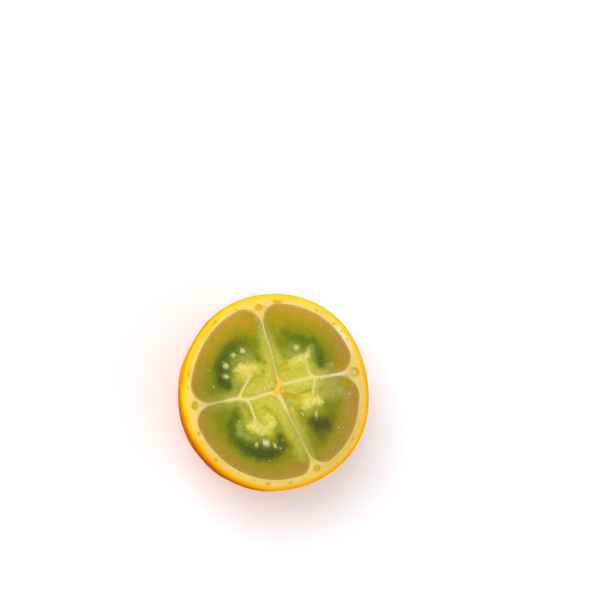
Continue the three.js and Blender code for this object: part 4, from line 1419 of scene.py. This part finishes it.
# (x, y, radius)
LARGE_BEADS_AND_GLINTS = [
    (19.0, -10.0, 0.34), (22.4, 0.1, 0.38), (-2.1, -20.0, 0.26), (-18.9, 0.9, 0.28),
    (-21.7, -3.1, 0.24), (-20.2, -2.2, 0.22), (-20.0, 5.6, 0.2), (-10.0, -17.8, 0.16),
    (-16.1, 3.9, 0.26), (-13.9, 3.8, 0.2), (-10.9, 12.3, 0.28), (-16.0, 7.9, 0.2),
    (-11.3, -9.0, 0.26), (-3.7, -14.1, 0.42), (5.8, 13.2, 0.26), (1.3, -16.4, 0.2),
    (2.1, -13.9, 0.18), (4.1, -3.1, 0.3), (-4.0, 5.0, 0.16), (16.6, 8.5, 0.2),
]
# How many small ones each chamber gets, their least and greatest radius, and how flat all are
SMALL_BEADS = 14
SMALL_RADII = (0.05, 0.12)
BEAD_FLATNESS = 0.4
BEAD_ROWS = 7
BEAD_SIDES = 14


def bead_rings(x, y, radius, level):
    """A drop: a squashed ball, half sunk in the pulp. Its radius swells and shrinks by waves of
    two and three to the turn, which its place turns about."""
    down = np.linspace(0, math.pi, BEAD_ROWS + 2)[1:-1, None]
    angle = np.arange(BEAD_SIDES) * 2 * math.pi / BEAD_SIDES
    uneven = 1 + 0.2 * np.cos(2 * angle + 5 * x) + 0.06 * np.cos(3 * angle + 7 * y)
    return np.stack(np.broadcast_arrays(
        x + radius * uneven * np.sin(down) * np.cos(angle),
        y + radius * uneven * np.sin(down) * np.sin(angle),
        level + radius * BEAD_FLATNESS * np.cos(down),
    ), axis=-1)


def bead_finish(pieces):
    """Juice: pale, cloudy, half see-through and wet; its pale colour is partly a painted highlight,
    standing in for glints.
    """
    finish = Finish(
        "pale_glint_and_juice", IOR=1.36, Coat_Weight=1.0, Coat_Roughness=0.03, Transmission_Weight=0.45)
    cloudy = finish.noise(0.5, 2.0)
    colour = finish.mix(cloudy.between(0.4, 0.6), "c9cfa6", "e6e7d2")
    finish.bump(cloudy, 0.01)
    finish.paint(pieces, colour, 0.12 + (cloudy - 0.5) * 0.1)


def join_rings(name, drops):
    """Many small shapes made of rings as one piece, each closed at its first and last ring."""
    points = []
    faces = []
    count = 0
    for rings in drops:
        rows, around = rings.shape[:2]
        faces += ring_faces(rows, around, count)[:, ::-1].tolist()
        faces.append(list(range(count, count + around)))
        faces.append(list(range(count + (rows - 1) * around, count + rows * around))[::-1])
        points.append(rings.reshape(-1, 3))
        count += rows * around
    mesh = bpy.data.meshes.new(name)
    mesh.from_pydata((np.concatenate(points) * MM).tolist(), [], faces)
    return place_piece(name, mesh)


draw = np.random.default_rng(61)
beads = []
for chamber in CHAMBERS:
    middle = chamber_middle(chamber)
    outline = chamber_outline(chamber, sector_edge(chamber))
    drops = []
    for x, y, radius in LARGE_BEADS_AND_GLINTS:
        spot = np.array([[x, y]])
        if depth_in_chamber(chamber, spot)[0] > 0:
            drops.append(bead_rings(x, y, radius, pulp_height(chamber, spot)[0]))
    for _ in range(SMALL_BEADS):
        share = draw.uniform(0.1, 0.97)
        spot = middle + (outline[draw.integers(len(outline))] - middle) * share
        radius = draw.uniform(*SMALL_RADII)
        drops.append(bead_rings(*spot, radius, pulp_height(chamber, spot[None])[0]))
    beads.append(join_rings("juice_" + chamber, drops))
bead_finish(beads)


# --- The table ------------------------------------------------------------------------------
# A plain pale surface under the half, wide enough for every view. It isn't part of the fruit.

# How far it reaches each way from the middle, in metres
TABLE_REACH = 3.0

corners = [(-1, -1), (1, -1), (1, 1), (-1, 1)]
floor_mesh = bpy.data.meshes.new("table_top")
floor_mesh.from_pydata(
    [(x * TABLE_REACH, y * TABLE_REACH, 0) for x, y in corners], [], [(0, 1, 2, 3)])
floor = bpy.data.objects.new("table_top", floor_mesh)
bpy.context.scene.collection.objects.link(floor)
floor_finish = Finish("pale_table", IOR=1.4)
floor_finish.paint([floor], (0.96, 0.96, 0.96, 1), 0.55)


# --- Light ----------------------------------------------------------------------------------
# Soft studio light: a broad key from the left, a weaker fill from the near right, and an even
# pale room.

# (name, place in metres, size of its square in metres, power in watts)
LAMPS = [
    ("key", (-0.58, 0.34, 1.0), 0.8, 8.4),
    ("fill", (0.8, -0.4, 0.7), 0.9, 2.3),
]
ROOM_LIGHT = 0.67

for name, place, size, watts in LAMPS:
    light = bpy.data.lights.new(name, "AREA")
    light.size = size
    light.energy = watts
    lamp = bpy.data.objects.new(name, light)
    lamp.location = place
    aim = np.array(place) - (0, 0, FACE_HEIGHT * MM)
    tipped = math.acos(aim[2] / np.linalg.norm(aim))
    lamp.rotation_euler = (tipped, 0, math.atan2(aim[1], aim[0]) + math.pi / 2)
    bpy.context.scene.collection.objects.link(lamp)

room = bpy.data.worlds.new("room")
room.use_nodes = True
room.node_tree.nodes["Background"].inputs["Color"].default_value = (1, 1, 1, 1)
room.node_tree.nodes["Background"].inputs["Strength"].default_value = ROOM_LIGHT
bpy.context.scene.world = room
bpy.context.scene.view_settings.view_transform = "Standard"


# --- Camera ---------------------------------------------------------------------------------
# It looks down on the cut face, tilted a little to the left and towards the near side. It
# aims past the fruit, which so comes to lie left of and below the middle of the frame.

# How far it leans from straight above, and to which side, counted from the face's right
TILT = math.radians(18.4)
TILT_TOWARDS = math.radians(197)
# How far off it is, in metres, and how long its lens is
DISTANCE = 0.65
LENS = 134.7
# How far right of the face's middle and above it the camera aims, as it sees the face
AIM_RIGHT = 6.67
AIM_UP = 26.48

towards = np.array([
    math.sin(TILT) * math.cos(TILT_TOWARDS),
    math.sin(TILT) * math.sin(TILT_TOWARDS),
    math.cos(TILT),
])
upward = np.array([0, 1, 0]) - towards * towards[1]
upward /= np.linalg.norm(upward)
rightward = np.cross(upward, towards)
face_middle = np.array([0, 0, FACE_HEIGHT]) * MM
eye = face_middle + towards * DISTANCE
aim = face_middle + (rightward * AIM_RIGHT + upward * AIM_UP) * MM
back = (eye - aim) / np.linalg.norm(eye - aim)
right = np.cross(upward, back)
right /= np.linalg.norm(right)
matrix = np.eye(4)
matrix[:3, :3] = np.stack([right, np.cross(back, right), back], axis=-1)
matrix[:3, 3] = eye

camera_data = bpy.data.cameras.new("camera")
camera_data.lens = LENS
camera = bpy.data.objects.new("camera", camera_data)
bpy.context.scene.collection.objects.link(camera)
camera.matrix_world = matrix.T.tolist()
bpy.context.scene.camera = camera
